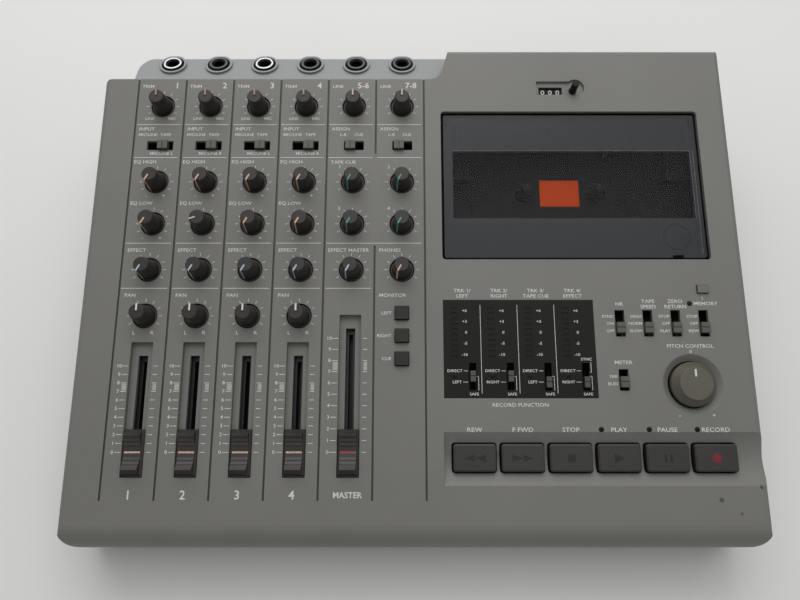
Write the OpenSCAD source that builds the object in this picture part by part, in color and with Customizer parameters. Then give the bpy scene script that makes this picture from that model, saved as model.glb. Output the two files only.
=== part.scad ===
// Portable four track cassette recorder with a six strip mixer, a tape deck and a sloping control panel.
// X runs along the front edge, Y from the front to the back and Z up from the table.
// On the control panel, lengths are (x, v, h): v from the front edge up the slope, h above the panel.

/* [Case] */
// Width of the case across its flanks
body_w = 364.8; // [364:0.2:380]
// Depth of the tape deck side, measured along the control panel
tape_side_d = 282; // [281:0.5:295]
// Depth of the mixer side, measured along the control panel
mixer_side_d = 262.4; // [261.5:0.1:264]
// Height of the control panel at the front edge
front_h = 47; // [44:0.5:60]
// Slope of the control panel in degrees
panel_slope = 6; // [5:0.25:9]
// Thickness of the case walls
wall = 2.5; // [2:0.1:2.8]
// Height at which the two halves of the case meet
split_h = 24; // [20:0.5:27]
// Radius of the rolled front edge
lip_r = 12; // [8:0.5:15]
// Radius along the left and right edges of the panel
side_r = 3; // [2.9:0.1:5]
// Radius of the front corners seen from above
front_corner_r = 9; // [5:0.5:14]
// Radius of the rear corners seen from above
rear_corner_r = 4; // [3.2:0.2:8]
// Diameter of the case screws' heads
screw_head_d = 6.4; // [5:0.1:7]
// Diameter of the case screws' shanks
screw_d = 3; // [2.5:0.1:3.5]

/* [Feet] */
// Diameter of a rubber foot
foot_d = 16; // [12:0.5:22]
// Gap that the feet keep between the case and the table
foot_h = 4; // [3:0.25:6]
// Distance of the feet from the flanks
foot_inset = 22; // [16:1:40]
// Distance of the front feet from the front edge
front_foot_y = 30; // [20:1:60]
// Distance between the front and the rear feet
foot_spacing = 200; // [120:1:205]

/* [Jack shelf] */
// Drop from the panel to the shelf behind the mixer
shelf_drop = 4.2; // [3.5:0.1:5]
// Angle at which the shelf and its jacks lean back from the panel
shelf_lean = 22; // [15:0.5:26]
// Distance of the shelf's left end from the first groove
shelf_overhang = 5.5; // [3:0.5:9]
// Radius of the shelf's left end seen from above
shelf_end_r = 12; // [6:0.5:14]
// Radius of the shelf's rear edge
shelf_edge_r = 3; // [2.9:0.1:5]
// Reach of the jack shelf behind the rear of the tape deck
shelf_reach = 4.6; // [4:0.1:5.5]
// Diameter of the collar round a jack
jack_collar_d = 16.3; // [15.6:0.1:17]
// Outer diameter of a jack's ferrule
jack_ferrule_d = 11.7; // [10.5:0.1:12]
// Bore of a jack
jack_bore_d = 6.5; // [6.4:0.05:6.6]
// Depth of a jack's bore
jack_bore_depth = 24; // [20:0.5:25]
// Distance of the jacks from the rear edge of the mixer
jack_v = 15.8; // [15:0.1:16.5]
// Height of the jacks' collars above the shelf
jack_rise = 1.3; // [0.8:0.1:1.8]
// Width of the gap round a jack's ferrule
jack_gap = 0.9; // [0.4:0.1:1.2]

/* [Mixer strips] */
// Distance from one strip to the next
strip_pitch = 28; // [27.5:0.1:28.4]
// Distance from the left flank to the first groove
strip_margin = 20.5; // [18:0.5:21]
// Width of the moulded grooves between the strips
groove_w = 1; // [0.6:0.1:1.6]
// Depth of the moulded grooves
groove_depth = 0.8; // [0.4:0.1:1.2]
// Distance of the grooves' near end from the front edge
groove_front_v = 22.6; // [18:0.5:26]
// Offset of the knobs from the middle of a strip
knob_offset = 1.2; // [0:0.1:2]
// Distance of the trim knobs from the front edge
trim_v = 244.6; // [243:0.1:247]
// Distance of the high equaliser knobs from the front edge
eq_high_v = 197.3; // [196:0.1:199]
// Distance of the low equaliser knobs from the front edge
eq_low_v = 172.1; // [171:0.1:174]
// Distance of the effect knobs from the front edge
effect_v = 145.4; // [144.5:0.1:148]
// Distance of the pan knobs from the front edge
pan_v = 119.4; // [118.5:0.1:121]
// Distance of the input switches from the front edge
input_switch_v = 219.7; // [218.5:0.1:222]
// Offset of the input switches from the middle of a strip
switch_offset = 1.4; // [0:0.1:2]

/* [Small knobs] */
// Diameter of a well for a knob
well_d = 13.8; // [13.4:0.1:15]
// Diameter of a knob's flange
flange_d = 12.6; // [11.5:0.1:12.8]
// Diameter of a knob's body at the panel
knob_base_d = 11; // [10:0.1:11.4]
// Diameter of a knob's top
knob_top_d = 8.4; // [7:0.1:9.5]
// Height of a knob above the panel
knob_h = 12; // [9:0.1:13]
// Width of the pointer rib
rib_w = 1.1; // [0.8:0.1:1.6]
// Height of the pointer rib over the knob's top and side
rib_h = 0.3; // [0.2:0.1:0.5]
// Diameter of the pots' shafts
shaft_d = 6; // [5:0.1:6.4]
// Turn of a knob from one stop to the other, in degrees
knob_turn = 300; // [270:5:310]

/* [Faders] */
// Travel of a channel fader
channel_travel = 45; // [40:0.5:47]
// Travel of the master fader
master_travel = 60; // [50:0.5:62]
// Distance of the faders' zero marks from the front edge
fader_zero_v = 47; // [46:0.1:50]
// Length of a fader's cap
cap_l = 23.6; // [20:0.2:25]
// Width of a fader's cap at its foot
cap_w = 11.1; // [10.4:0.1:11.3]
// Height of a fader's cap above the panel
cap_h = 4.6; // [4.2:0.1:8]
// Depth of the saddle in a fader's cap
saddle = 3.8; // [2.6:0.1:4]
// Width of the trough that a fader runs along
trough_w = 11.7; // [11.7:0.1:13]
// Depth of the trough
trough_depth = 3.4; // [3:0.1:3.6]
// Width of a fader's slot
fader_slot_w = 5; // [4:0.1:6]

/* [Switches and buttons] */
// Width of the switches' slots
switch_slot_w = 5.2; // [4.8:0.1:6]
// Length of an input switch's slot
input_slot_l = 15.1; // [14.4:0.1:16]
// Length of an assign switch's slot
assign_slot_l = 11.4; // [11:0.1:12.5]
// Length of a record function or mode switch's slot
mode_slot_l = 14.6; // [14:0.1:15]
// Length of the meter switch's slot
meter_slot_l = 11.4; // [11:0.1:12.5]
// Length of a switch's cap along its slot
switch_cap_l = 5.7; // [5:0.1:6]
// Height of the switches' caps above the panel
switch_cap_h = 2.4; // [1:0.1:3]
// Width of the monitor buttons
button_w = 7.3; // [6:0.1:7.6]
// Distance between the monitor buttons
button_pitch = 12.5; // [12:0.1:13]
// Height of the monitor buttons above the panel
button_h = 2.4; // [2:0.1:4]
// Distance of the first monitor button from the front edge
button_v = 120.9; // [120:0.1:123]
// Travel of the buttons
button_travel = 1.6; // [1:0.1:1.9]

/* [Tape deck] */
// Distance from the last groove to the door and the meter panel
deck_gap = 9.7; // [8:0.1:11]
// Width of the door opening
door_open_w = 149.4; // [148:0.2:151]
// Depth of the door opening
door_open_d = 90; // [89:0.2:91]
// Distance of the door opening's near edge from the front edge
door_v = 151.3; // [151:0.1:152]
// Gap between the door and its opening
door_gap = 1.5; // [1.2:0.1:2]
// Thickness of the door
door_t = 2.6; // [2:0.1:3]
// Depth of the door's face below the panel
door_drop = 1.5; // [1:0.1:1.8]
// Width of the door's clear window
window_w = 137; // [120:1:140]
// Depth of the door's clear window
window_d = 41; // [34:0.5:44]
// Distance from one spindle to the other
spindle_pitch = 42.5; // [42.5]
// Depth of the platform that a cassette lies on, below the panel
platform_depth = 15.5; // [15:0.1:17]
// Diameter of a spindle over its splines
spindle_d = 9.2; // [8.8:0.1:9.4]
// Height of a spindle above the platform
spindle_h = 8.5; // [7:0.1:9]
// Diameter of the flywheel
flywheel_d = 44; // [30:1:46]
// Thickness of the flywheel
flywheel_t = 5; // [3:0.5:6]
// Diameter of the capstan motor
motor_d = 32; // [26:1:34]
// Height of the capstan motor
motor_h = 18; // [14:0.5:22]

/* [Meters and deck switches] */
// Width of the meter panel
meter_w = 81.8; // [81:0.1:82.5]
// Depth of the meter panel
meter_d = 53.3; // [53:0.1:55]
// Distance of the meter panel's near edge from the front edge
meter_v = 74.9; // [74:0.1:76]
// Thickness of the meter panel
meter_t = 1.2; // [0.8:0.1:1.4]
// Segments in a meter column
segments = 10; // [6:1:10]
// Distance from one mode switch to the next
mode_pitch = 15.2; // [14.6:0.1:15.6]
// Distance of the mode switches from the front edge
mode_v = 115.3; // [114.5:0.1:116]
// Diameter of the pitch control's knob
pitch_d = 23.8; // [22:0.1:26]
// Height of the pitch control's knob above the panel
pitch_h = 4.4; // [4:0.1:8]
// Diameter of the dish round the pitch control
dish_d = 32.3; // [30:0.1:34]
// Depth of the dish round the pitch control
dish_depth = 2.6; // [2:0.1:3]

/* [Transport keys] */
// Width of a transport key
key_w = 22.1; // [20:0.1:22.6]
// Depth of a transport key
key_d = 14; // [12:0.1:15]
// Distance from one key to the next
key_pitch = 25.14; // [24.8:0.02:25.4]
// Distance of the keys' middle from the front edge
key_v = 44.2; // [43.5:0.1:45]
// Depth of the scoop that the keys stand in
scoop_depth = 4; // [3:0.1:4.4]
// Radius of the scoop
scoop_r = 25; // [22:0.5:26]
// Gap round a key
key_gap = 0.8; // [0.5:0.05:1]

/* [Counter] */
// Diameter of the counter's number wheels
counter_wheel_d = 10.4; // [9:0.1:11]
// Width of a number wheel
counter_wheel_w = 4.4; // [4:0.1:4.6]
// Diameter of the counter's reset button
reset_d = 4; // [3:0.1:4.4]
// Height of the counter's reset button above the panel
reset_h = 6.5; // [4:0.1:8]

/* [Rear sockets] */
// Distance between the phono sockets along the rear
phono_pitch = 17; // [15:0.5:18]
// Distance between the two rows of phono sockets
phono_row_pitch = 15; // [13:0.5:16]
// Outer diameter of a phono socket
phono_d = 8.3; // [8:0.05:8.6]
// Bore of a phono socket
phono_bore_d = 3.3; // [3.2:0.05:3.6]
// Length by which the phono sockets stand out of the rear
phono_out = 7.5; // [6:0.1:9]
// Bore of the power inlet
inlet_bore_d = 5.6; // [5.5:0.05:6]

/* [Hidden] */
$fn = 48;
fit = 0.08;
clear = 0.3;
slack = 0.4;
seat = 0.1;
eps = 0.01;
beyond = 20;
strips = 6;
channels = 4;
keys = 6;
slope_cos = cos(panel_slope);
case_d = tape_side_d * slope_cos;
mixer_y = mixer_side_d * slope_cos;
overall_d = case_d + phono_out;
floor_t = wall;
top_z = front_h + case_d * tan(panel_slope) + beyond;

// Strips, counted from the left
function groove_x(i) = -body_w / 2 + strip_margin + strip_pitch * i;
function column_x(i) = groove_x(i) + strip_pitch / 2 + knob_offset;
function strip_mid_x(i) = groove_x(i) + strip_pitch / 2;
mixer_end_x = groove_x(strips);
shelf_x = groove_x(0) - shelf_overhang;
step_r = 8;
step_lean = 15;
step_x = mixer_end_x + 3.4;
shelf_right_x = step_x + 2 * step_r;
shelf_y = case_d + shelf_reach;
// The last groove but one stops for the cue controls between these two distances
groove_break_v = [(effect_v + eq_low_v) / 2 + 0.4, input_switch_v - 5.2];

// Tape deck
deck_x = mixer_end_x + deck_gap;
door_mid_x = deck_x + door_open_w / 2;
door_rear_v = door_v + door_open_d;
hinge_v = door_rear_v - 4.8;
hinge_h = -door_drop - 4.7;
hinge_pin_d = 3;
hinge_pin_l = 4.4;
hub_v = door_v + 45.1;
hub_x = door_mid_x - 4;
spindle_shaft_d = 3;
capstan_d = 2;
well_wall = 2;
well_x = [deck_x + 0.4, deck_x + door_open_w - 0.4];
well_v = [door_v - 0.8, door_rear_v + 1.7];
well_top = -wall;
platform_t = 2.2;
plate_top = -platform_depth - platform_t - 0.8;
plate_t = 1.6;
plate_size = [112, 70];
plate_v = hub_v + 8;
plate_post_d = 6;
plate_post_x = [-52, 52];
plate_post_v = [-24, 16];
bearing_d = 6;
bearing_l = 7;
capstan_x = hub_x + 31;
capstan_v = hub_v + 25;
motor_x = hub_x - 38;
motor_v = hub_v + 14;
pulley_d = 8;
pulley_l = 3;
head_v = hub_v + 35;
pocket_depth = 1;
// Shallow pockets in the platform beside the cassette, as [x, v, width, depth]
pockets = [[hub_x - 57.5, hub_v - 4, 11, 21], [hub_x + 65, hub_v - 4, 25, 21]];

// Boards and the parts on them
board_t = 1.6;
board_top = -19;
pot_w = 11.4;
pot_top = -10;
bushing_top = -wall - 0.5;
shaft_end = board_top + 2;
knob_foot = -2;
low_stop = -knob_turn / 2;
eq_low_2_turn = low_stop + 43;
slider_top = -8;
slider_floor = board_top + 2;
blade_end = slider_floor + 1.5;
blade_t = 1.4;
blade_l = 6;
fader_foot = -trough_depth + 0.8;
cap_shoulder = -0.4;
cap_rib_vs = [4, 6.15];
cap_rib_h = 0.3;
trough_spare = cap_l + 2.2;
switch_body_top = -10;
switch_foot = -1.6;
stem_w = 2.4;
stem_end = slider_floor + button_travel + slack;
mixer_board_front_v = 20;
mixer_board_rear_v = trim_v + 11;
deck_board_front_v = 20;
deck_board_rear_v = meter_v + meter_d + 13;
board_inset = 15;

// Deck switches, meters and keys
meter_x = deck_x;
meter_margin = 1.2;
meter_pitch = (meter_w - meter_margin) / channels;
record_slot_x = meter_x + 15.4;
record_slot_v = meter_v + 11.5;
segment_x = meter_x + 5.7;
segment_top_v = meter_v + meter_d - 4.7;
segment_pitch = 2.95;
segment_w = 3.6;
segment_d = 1.5;
mode_x = deck_x + 96;
meter_switch_v = meter_v + 9.7;
pitch_x = mode_x + 36.6;
pitch_v = meter_v + 7.4;
memory_x = mode_x + 46.5;
memory_v = mode_v + 18.9;
memory_w = 6;
memory_d = 4.2;
memory_h = 1.3;
button_x = column_x(strips - 1);
key_x0 = deck_x + 15.45;
scoop_v = key_v - 0.4;
scoop_x = mixer_end_x + 9.3;
key_foot = -8;
key_top = 0.3;
lamp_v = key_v + 14.4;
lamp_d = 2.8;
lamp_x0 = deck_x + 82.1;

// Counter
counter_x = deck_x + 65.2;
counter_v = door_rear_v + 14.1;
counter_wheels_n = 3;
counter_axle_d = 2;
counter_axle_h = -wall - counter_wheel_d / 2 + 0.1;
counter_ear_t = 1.8;
counter_half = counter_wheels_n * counter_wheel_w / 2 + clear + counter_ear_t;
counter_recess_l = 20;
counter_recess_d = 8.9;
counter_recess_depth = 1.5;
reset_x = counter_x + 13.2;
reset_recess_r = 5.4;

// Case fasteners and rear sockets
post_d = 8;
post_x = body_w / 2 - 9.5;
post_ys = [24, 136, 242];
foot_seat = 1;
board_post_d = 5;
phono_columns = 6;
phono_rows = 2;
socket_z = split_h + 10;
socket_x0 = deck_x + 34;
inlet_x = socket_x0 + phono_columns * phono_pitch;
socket_plate_x = [socket_x0 - 13, inlet_x + 14];
socket_plate_z = [socket_z - 8, socket_z + phono_row_pitch + 8];
socket_lip = 2;
socket_lip_t = 1.5;
phono_barrel_l = 9;
inlet_wall = 2.5;
inlet_l = 10;
inlet_out = 1;
jack_body = [14.6, 13];

knob_rows = ["trim", "eq_high", "eq_low", "effect", "pan"];
key_names = ["rewind", "fast_forward", "stop", "play", "pause", "record"];

// ---- frames and outlines ----

module on_table() {
    translate([0, -overall_d / 2, 0])
        children();
}

module on_panel() {
    translate([0, -overall_d / 2, front_h])
        rotate([panel_slope, 0, 0])
            children();
}

// Points of an arc about (cx, cy) from angle a to angle b
function arc(cx, cy, r, a, b, n = 6) =
    [for (i = [0 : n]) let (t = a + (b - a) * i / n) [cx + r * cos(t), cy + r * sin(t)]];

// Front edge of the case seen from above, set in by e
function front_corners(e) = concat(
    arc(-body_w / 2 + front_corner_r, front_corner_r, front_corner_r - e, 180, 270),
    arc(body_w / 2 - front_corner_r, front_corner_r, front_corner_r - e, 270, 360)
);

function rear_right_corner(e) =
    arc(body_w / 2 - rear_corner_r, case_d - rear_corner_r, rear_corner_r - e, 0, 90, 4);

function rear_left_corner(e) =
    arc(-body_w / 2 + rear_corner_r, mixer_y - rear_corner_r, rear_corner_r - e, 90, 180, 4);

// Whole footprint, with the jack shelf
function base_outline(e) = concat(
    front_corners(e),
    rear_right_corner(e),
    [[shelf_right_x - e, case_d - e], [shelf_right_x - e, shelf_y - e]],
    arc(shelf_x + shelf_end_r, shelf_y - shelf_end_r, shelf_end_r - e, 90, 180),
    [[shelf_x + e, mixer_y - e]],
    rear_left_corner(e)
);

// Footprint of the part that reaches up to the control panel
function panel_outline(e) =
    let (step_c = [step_x, mixer_y + step_r])
    let (bend = step_c + (step_r + e) * [cos(step_lean), -sin(step_lean)])
    let (rise = case_d - e - bend[1])
    concat(
        front_corners(e),
        rear_right_corner(e),
        [[bend[0] + rise * tan(step_lean), case_d - e]],
        arc(step_c[0], step_c[1], step_r + e, 360 - step_lean, 270, 5),
        rear_left_corner(e)
    );

// Side view of the case: front wall, rolled edge, sloping panel and rear wall
function wedge_profile(e) =
    let (lip_z = front_h - lip_r * (1 - sin(panel_slope)) / slope_cos)
    let (rear_y = case_d - side_r)
    let (rear_z = front_h + (rear_y * sin(panel_slope) - side_r) / slope_cos)
    concat(
        [[e, -beyond]],
        arc(lip_r, lip_z, lip_r - e, 180, 90 + panel_slope, 8),
        arc(rear_y, rear_z, side_r - e, 90 + panel_slope, 0, 4),
        [[case_d - e, -beyond]]
    );

// Cross section of the case seen along the slope of the panel
function flank_profile(e) = concat(
    [[-body_w / 2 + e, -top_z], [body_w / 2 - e, -top_z]],
    arc(body_w / 2 - side_r, -side_r, side_r - e, 0, 90, 4),
    arc(-body_w / 2 + side_r, -side_r, side_r - e, 90, 180, 4)
);

// Side view of the jack shelf, which drops, leans back and rolls over the rear edge
function shelf_profile(e) =
    let (fall = shelf_lean - panel_slope)
    let (start_z = front_h + mixer_side_d * sin(panel_slope) - shelf_drop * slope_cos)
    let (run = shelf_y - shelf_edge_r - mixer_y)
    let (edge_z = start_z - (shelf_edge_r + run * sin(fall)) / cos(fall))
    concat(
        [[mixer_y - beyond, -beyond], [shelf_y - e, -beyond]],
        arc(shelf_y - shelf_edge_r, edge_z, shelf_edge_r - e, 0, 90 - fall, 6),
        [[mixer_y - e, start_z - e / cos(fall) + e * tan(fall)]],
        [[mixer_y - beyond, start_z - e / cos(fall) + e * tan(fall)]]
    );

module across(width) {
    rotate([90, 0, 90])
        translate([0, 0, -width / 2])
            linear_extrude(width)
                children();
}

// Space inside the upper half's outer surface, set in by e
module upper_space(e) {
    intersection() {
        linear_extrude(top_z)
            polygon(panel_outline(e));
        across(body_w)
            polygon(wedge_profile(e));
        translate([0, 0, front_h])
            rotate([panel_slope + 90, 0, 0])
                translate([0, 0, -tape_side_d - beyond])
                    linear_extrude(tape_side_d + 2 * beyond)
                        polygon(flank_profile(e));
    }
    intersection() {
        linear_extrude(top_z)
            polygon(base_outline(e));
        translate([(shelf_x + shelf_right_x - e) / 2, 0, 0])
            across(shelf_right_x - shelf_x + step_r - e)
                polygon(shelf_profile(e));
    }
}

// ---- places shared by the panel and by what stands in it ----

module at_jack(i) {
    translate([column_x(i), mixer_side_d + jack_v, jack_rise - shelf_drop - jack_v * tan(shelf_lean)])
        rotate([-shelf_lean, 0, 0])
            children();
}

module at_case_posts() {
    for (side = [-1, 1], y = post_ys)
        translate([side * post_x, y, 0])
            children();
}

module at_board_posts() {
    for (i = [1, 3, 5], v = [mixer_board_front_v + 5, effect_v - 13, input_switch_v - 11.5])
        translate([groove_x(i), v, 0])
            children();
    for (x = [deck_x + 3.7, mode_x - 8.7, post_x - 8.4], v = [lamp_v + 7.5, deck_board_rear_v - 9])
        translate([x, v, 0])
            children();
}

// Knob places as [x, v] for a row of the channel strips
function row_v(row) = row == "trim" ? trim_v
    : row == "eq_high" ? eq_high_v
    : row == "eq_low" ? eq_low_v
    : row == "effect" ? effect_v
    : pan_v;

module at_small_knobs() {
    for (row = knob_rows, i = [0 : channels - 1])
        translate([column_x(i), row_v(row), 0])
            children();
    for (i = [channels, channels + 1], v = [trim_v, eq_high_v, eq_low_v, effect_v])
        translate([column_x(i), v, 0])
            children();
}

module at_input_switches() {
    for (i = [0 : channels - 1])
        translate([strip_mid_x(i) + switch_offset, input_switch_v, 0])
            children();
}

module at_assign_switches() {
    for (i = [channels, channels + 1])
        translate([strip_mid_x(i) + switch_offset, input_switch_v, 0])
            children();
}

module at_record_switches() {
    for (i = [0 : channels - 1])
        translate([record_slot_x + meter_pitch * i, record_slot_v, 0])
            children();
}

module at_mode_switches() {
    for (i = [0 : channels - 1])
        translate([mode_x + mode_pitch * i, mode_v, 0])
            children();
}

module at_meter_switch() {
    translate([mode_x, meter_switch_v, 0])
        children();
}

module at_monitor_buttons() {
    for (i = [0 : 2])
        translate([button_x, button_v - button_pitch * i, 0])
            children();
}

module at_memory_button() {
    translate([memory_x, memory_v, 0])
        children();
}

module at_fader_middle(i) {
    translate([column_x(i), fader_zero_v + fader_travel(i) / 2, 0])
        children();
}

module at_key(i) {
    translate([key_x0 + key_pitch * i, key_v, 0])
        children();
}

module at_segments() {
    for (i = [0 : channels - 1], k = [0 : segments - 1])
        translate([segment_x + meter_pitch * i, segment_top_v - segment_pitch * k, 0])
            children();
}

module at_lamps() {
    for (i = [0 : 2])
        translate([lamp_x0 + key_pitch * i, lamp_v, 0])
            children();
    translate([memory_x - 7.8, memory_v - 8, 0])
        children();
}

// A block from z0 to z1, centred on the axis
module block(w, d, z0, z1) {
    translate([-w / 2, -d / 2, z0])
        cube([w, d, z1 - z0]);
}

module rounded_block(w, d, r, z0, z1) {
    translate([0, 0, z0])
        linear_extrude(z1 - z0)
            polygon(concat(
                arc(w / 2 - r, d / 2 - r, r, 0, 90, 3),
                arc(-w / 2 + r, d / 2 - r, r, 90, 180, 3),
                arc(-w / 2 + r, -d / 2 + r, r, 180, 270, 3),
                arc(w / 2 - r, -d / 2 + r, r, 270, 360, 3)
            ));
}

module rod(d, z0, z1) {
    translate([0, 0, z0])
        cylinder(h = z1 - z0, d = d);
}

module cone(d0, d1, z0, z1) {
    translate([0, 0, z0])
        cylinder(h = z1 - z0, d1 = d0, d2 = d1);
}

// ---- static pieces ----

// Material left standing inside the upper half: posts, pads and ears
module upper_ribs() {
    at_case_posts()
        rod(post_d, 0, top_z);
    translate([0, 0, front_h])
        rotate([panel_slope, 0, 0]) {
            at_board_posts()
                rod(board_post_d, board_top, beyond);
            translate([scoop_x - wall, scoop_v - 17, -scoop_depth - wall])
                cube([body_w, 34, beyond]);
            translate([pitch_x, pitch_v, 0])
                rod(dish_d + 2, -dish_depth - wall, beyond);
            for (i = [0 : strips - 1])
                at_jack(i)
                    rod(jack_collar_d, -8, 0);
            translate([reset_x, counter_v, 0])
                rod(reset_d + 4, -8, beyond);
            for (i = [0 : channels])
                at_fader_middle(i)
                    block(trough_w + 2 * wall, fader_travel(i) + trough_spare + 2 * wall,
                        -trough_depth - wall, beyond);
            for (side = [0, 1])
                translate([counter_ear_x(side), counter_v - 5, counter_axle_h - 2.5])
                    cube([counter_ear_t, 10, beyond]);
        }
}

function counter_ear_x(side) =
    counter_x + (side * 2 - 1) * (counter_half - counter_ear_t / 2) - counter_ear_t / 2;

module upper_case_cuts() {
    for (i = [0 : strips])
        translate([groove_x(i) - groove_w / 2, groove_front_v, -groove_depth])
            cube([groove_w, (i == strips - 1 ? groove_break_v[0] : tape_side_d) - groove_front_v, beyond]);
    translate([groove_x(strips - 1) - groove_w / 2, groove_break_v[1], -groove_depth])
        cube([groove_w, beyond * 3, beyond]);
    at_small_knobs()
        rod(well_d, -beyond, beyond);
    for (i = [0 : channels])
        fader_cut(i);
    at_input_switches()
        block(input_slot_l, switch_slot_w + 0.4, -beyond / 2, beyond);
    at_assign_switches()
        block(assign_slot_l, switch_slot_w + 0.4, -beyond / 2, beyond);
    at_mode_switches()
        block(switch_slot_w, mode_slot_l, -beyond / 2, beyond);
    at_meter_switch()
        block(switch_slot_w, meter_slot_l, -beyond / 2, beyond);
    at_monitor_buttons()
        block(button_w + 2 * clear, button_w + 2 * clear, -beyond / 2, beyond);
    at_memory_button()
        block(memory_w + 2 * clear, memory_d + 2 * clear, -beyond / 2, beyond);
    at_lamps()
        rod(lamp_d, -beyond / 2, beyond);
    translate([door_mid_x, door_v + door_open_d / 2, 0])
        rounded_block(door_open_w, door_open_d, 2, -beyond / 2, beyond);
    translate([meter_x + meter_w / 2, meter_v + meter_d / 2, 0]) {
        block(meter_w + 2 * fit, meter_d + 2 * fit, -meter_t, beyond);
        block(meter_w - 5, meter_d - 5, -beyond / 2, beyond);
    }
    translate([pitch_x, pitch_v, 0]) {
        cone(pitch_d + 1.4, dish_d, -dish_depth, 0);
        rod(dish_d, 0, beyond);
        rod(pitch_d + 1.4, -beyond / 2, -dish_depth + eps);
    }
    translate([scoop_x, scoop_v, scoop_r - scoop_depth])
        rotate([0, 90, 0])
            cylinder(h = body_w, r = scoop_r);
    for (i = [0 : keys - 1])
        at_key(i)
            rounded_block(key_w + 2 * key_gap, key_d + 2 * key_gap, 1.6, -beyond / 2, beyond);
    counter_cut();
    for (i = [0 : strips - 1])
        at_jack(i)
            rod(jack_ferrule_d + 2 * jack_gap, -beyond / 2, beyond);
}

module fader_cut(i) {
    at_fader_middle(i) {
        block(trough_w, fader_travel(i) + trough_spare, -trough_depth, beyond);
        block(fader_slot_w, fader_travel(i) + 2 * blade_l, -beyond / 2, beyond);
    }
}

function fader_travel(i) = i < channels ? channel_travel : master_travel;

module counter_cut() {
    window_l = counter_wheels_n * counter_wheel_w + 2 * clear;
    translate([counter_x + 1.6, counter_v + 0.9, 0])
        block(counter_recess_l, counter_recess_d, -counter_recess_depth, beyond);
    translate([counter_x, counter_v, 0])
        block(window_l, 4.6, -wall - 1, beyond);
    translate([reset_x + 1.2, counter_v + 1.2, 0])
        rod(2 * reset_recess_r, -counter_recess_depth, beyond);
    translate([reset_x, counter_v, 0])
        rod(reset_d + 2 * clear, -beyond, beyond);
    translate([counter_x - counter_half - eps, counter_v, counter_axle_h])
        rotate([0, 90, 0])
            cylinder(h = 2 * (counter_half + eps), d = counter_axle_d + 2 * fit);
}

module upper_case() {
    color("#716f69")
        on_table()
            difference() {
                union() {
                    difference() {
                        upper_space(0);
                        difference() {
                            upper_space(wall);
                            upper_ribs();
                        }
                    }
                    jack_collars();
                }
                translate([0, 0, front_h])
                    rotate([panel_slope, 0, 0])
                        upper_case_cuts();
                translate([-body_w, -beyond, -top_z])
                    cube([2 * body_w, case_d + 2 * beyond, top_z + split_h]);
                at_case_posts()
                    rod(screw_d - 0.5, -beyond, split_h + 14);
                translate([socket_plate_x[0], case_d - beyond, socket_plate_z[0]])
                    cube([socket_plate_x[1] - socket_plate_x[0], 2 * beyond,
                        socket_plate_z[1] - socket_plate_z[0]]);
            }
}

// Raised collars round the jacks, cut flush with the rear wall
module jack_collars() {
    intersection() {
        linear_extrude(top_z)
            polygon(base_outline(0));
        translate([0, 0, front_h])
            rotate([panel_slope, 0, 0])
                for (i = [0 : strips - 1])
                    at_jack(i)
                        rod(jack_collar_d, -6, 0);
    }
}

module lower_case() {
    color("#5d5c57")
        on_table()
            difference() {
                union() {
                    difference() {
                        translate([0, 0, foot_h])
                            linear_extrude(split_h - foot_h)
                                polygon(base_outline(0));
                        translate([0, 0, foot_h + floor_t])
                            linear_extrude(split_h)
                                polygon(base_outline(wall));
                    }
                    at_case_posts()
                        rod(post_d, foot_h + 1, split_h);
                }
                at_case_posts() {
                    rod(screw_d + 0.4, -beyond, top_z);
                    rod(screw_head_d + 0.4, -beyond, foot_h + 8);
                }
                at_feet()
                    rod(foot_d + 2 * clear, -beyond, foot_h + foot_seat);
                for (x = [-body_w / 2 + 61, body_w / 2 - 94])
                    translate([x, 0, split_h])
                        block(11, 2, -2.2, beyond);
                translate([socket_plate_x[0], case_d - beyond, socket_plate_z[0]])
                    cube([socket_plate_x[1] - socket_plate_x[0], 2 * beyond,
                        socket_plate_z[1] - socket_plate_z[0]]);
            }
}

module at_feet() {
    for (side = [-1, 1], y = [front_foot_y, front_foot_y + foot_spacing])
        translate([side * (body_w / 2 - foot_inset), y, 0])
            children();
}

module rubber_feet() {
    color("#1f1f1f")
        on_table()
            at_feet() {
                cone(foot_d - 2, foot_d, 0, 1.5);
                rod(foot_d, 1.5, foot_h + foot_seat);
            }
}

module input_jacks() {
    color("#26262a")
        on_panel()
            for (i = [0 : strips - 1])
                at_jack(i)
                    difference() {
                        union() {
                            rod(jack_ferrule_d, -8 - eps, 0.6);
                            block(jack_body[0], jack_body[1], -8 - jack_bore_depth + 5, -8);
                        }
                        rod(jack_bore_d, 0.6 - jack_bore_depth, beyond);
                        cone(jack_bore_d, jack_bore_d + 1.6, -0.2, 0.6 + eps);
                    }
}

module rear_sockets() {
    plate_w = socket_plate_x[1] - socket_plate_x[0];
    plate_h = socket_plate_z[1] - socket_plate_z[0];
    color("#2b2b2b")
        translate([(socket_plate_x[0] + socket_plate_x[1]) / 2, case_d - overall_d / 2,
            (socket_plate_z[0] + socket_plate_z[1]) / 2])
            rotate([-90, 0, 0])
                difference() {
                    union() {
                        block(plate_w - 2 * clear, plate_h - 2 * clear, -wall - eps, 0);
                        block(plate_w + 2 * socket_lip, plate_h + 2 * socket_lip,
                            -wall - socket_lip_t, -wall);
                        at_phonos()
                            rod(phono_d, -wall - phono_barrel_l, phono_out);
                        at_inlet()
                            rod(inlet_bore_d + 2 * inlet_wall, -wall - inlet_l, inlet_out);
                    }
                    at_phonos()
                        rod(phono_bore_d, phono_out - phono_barrel_l, beyond);
                    at_inlet()
                        rod(inlet_bore_d, inlet_out - inlet_l, beyond);
                }
}

module at_phonos() {
    mid_x = (socket_plate_x[0] + socket_plate_x[1]) / 2;
    for (i = [0 : phono_columns - 1], k = [0 : phono_rows - 1])
        translate([socket_x0 + phono_pitch * i - mid_x, (k - 0.5) * phono_row_pitch, 0])
            children();
}

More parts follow.
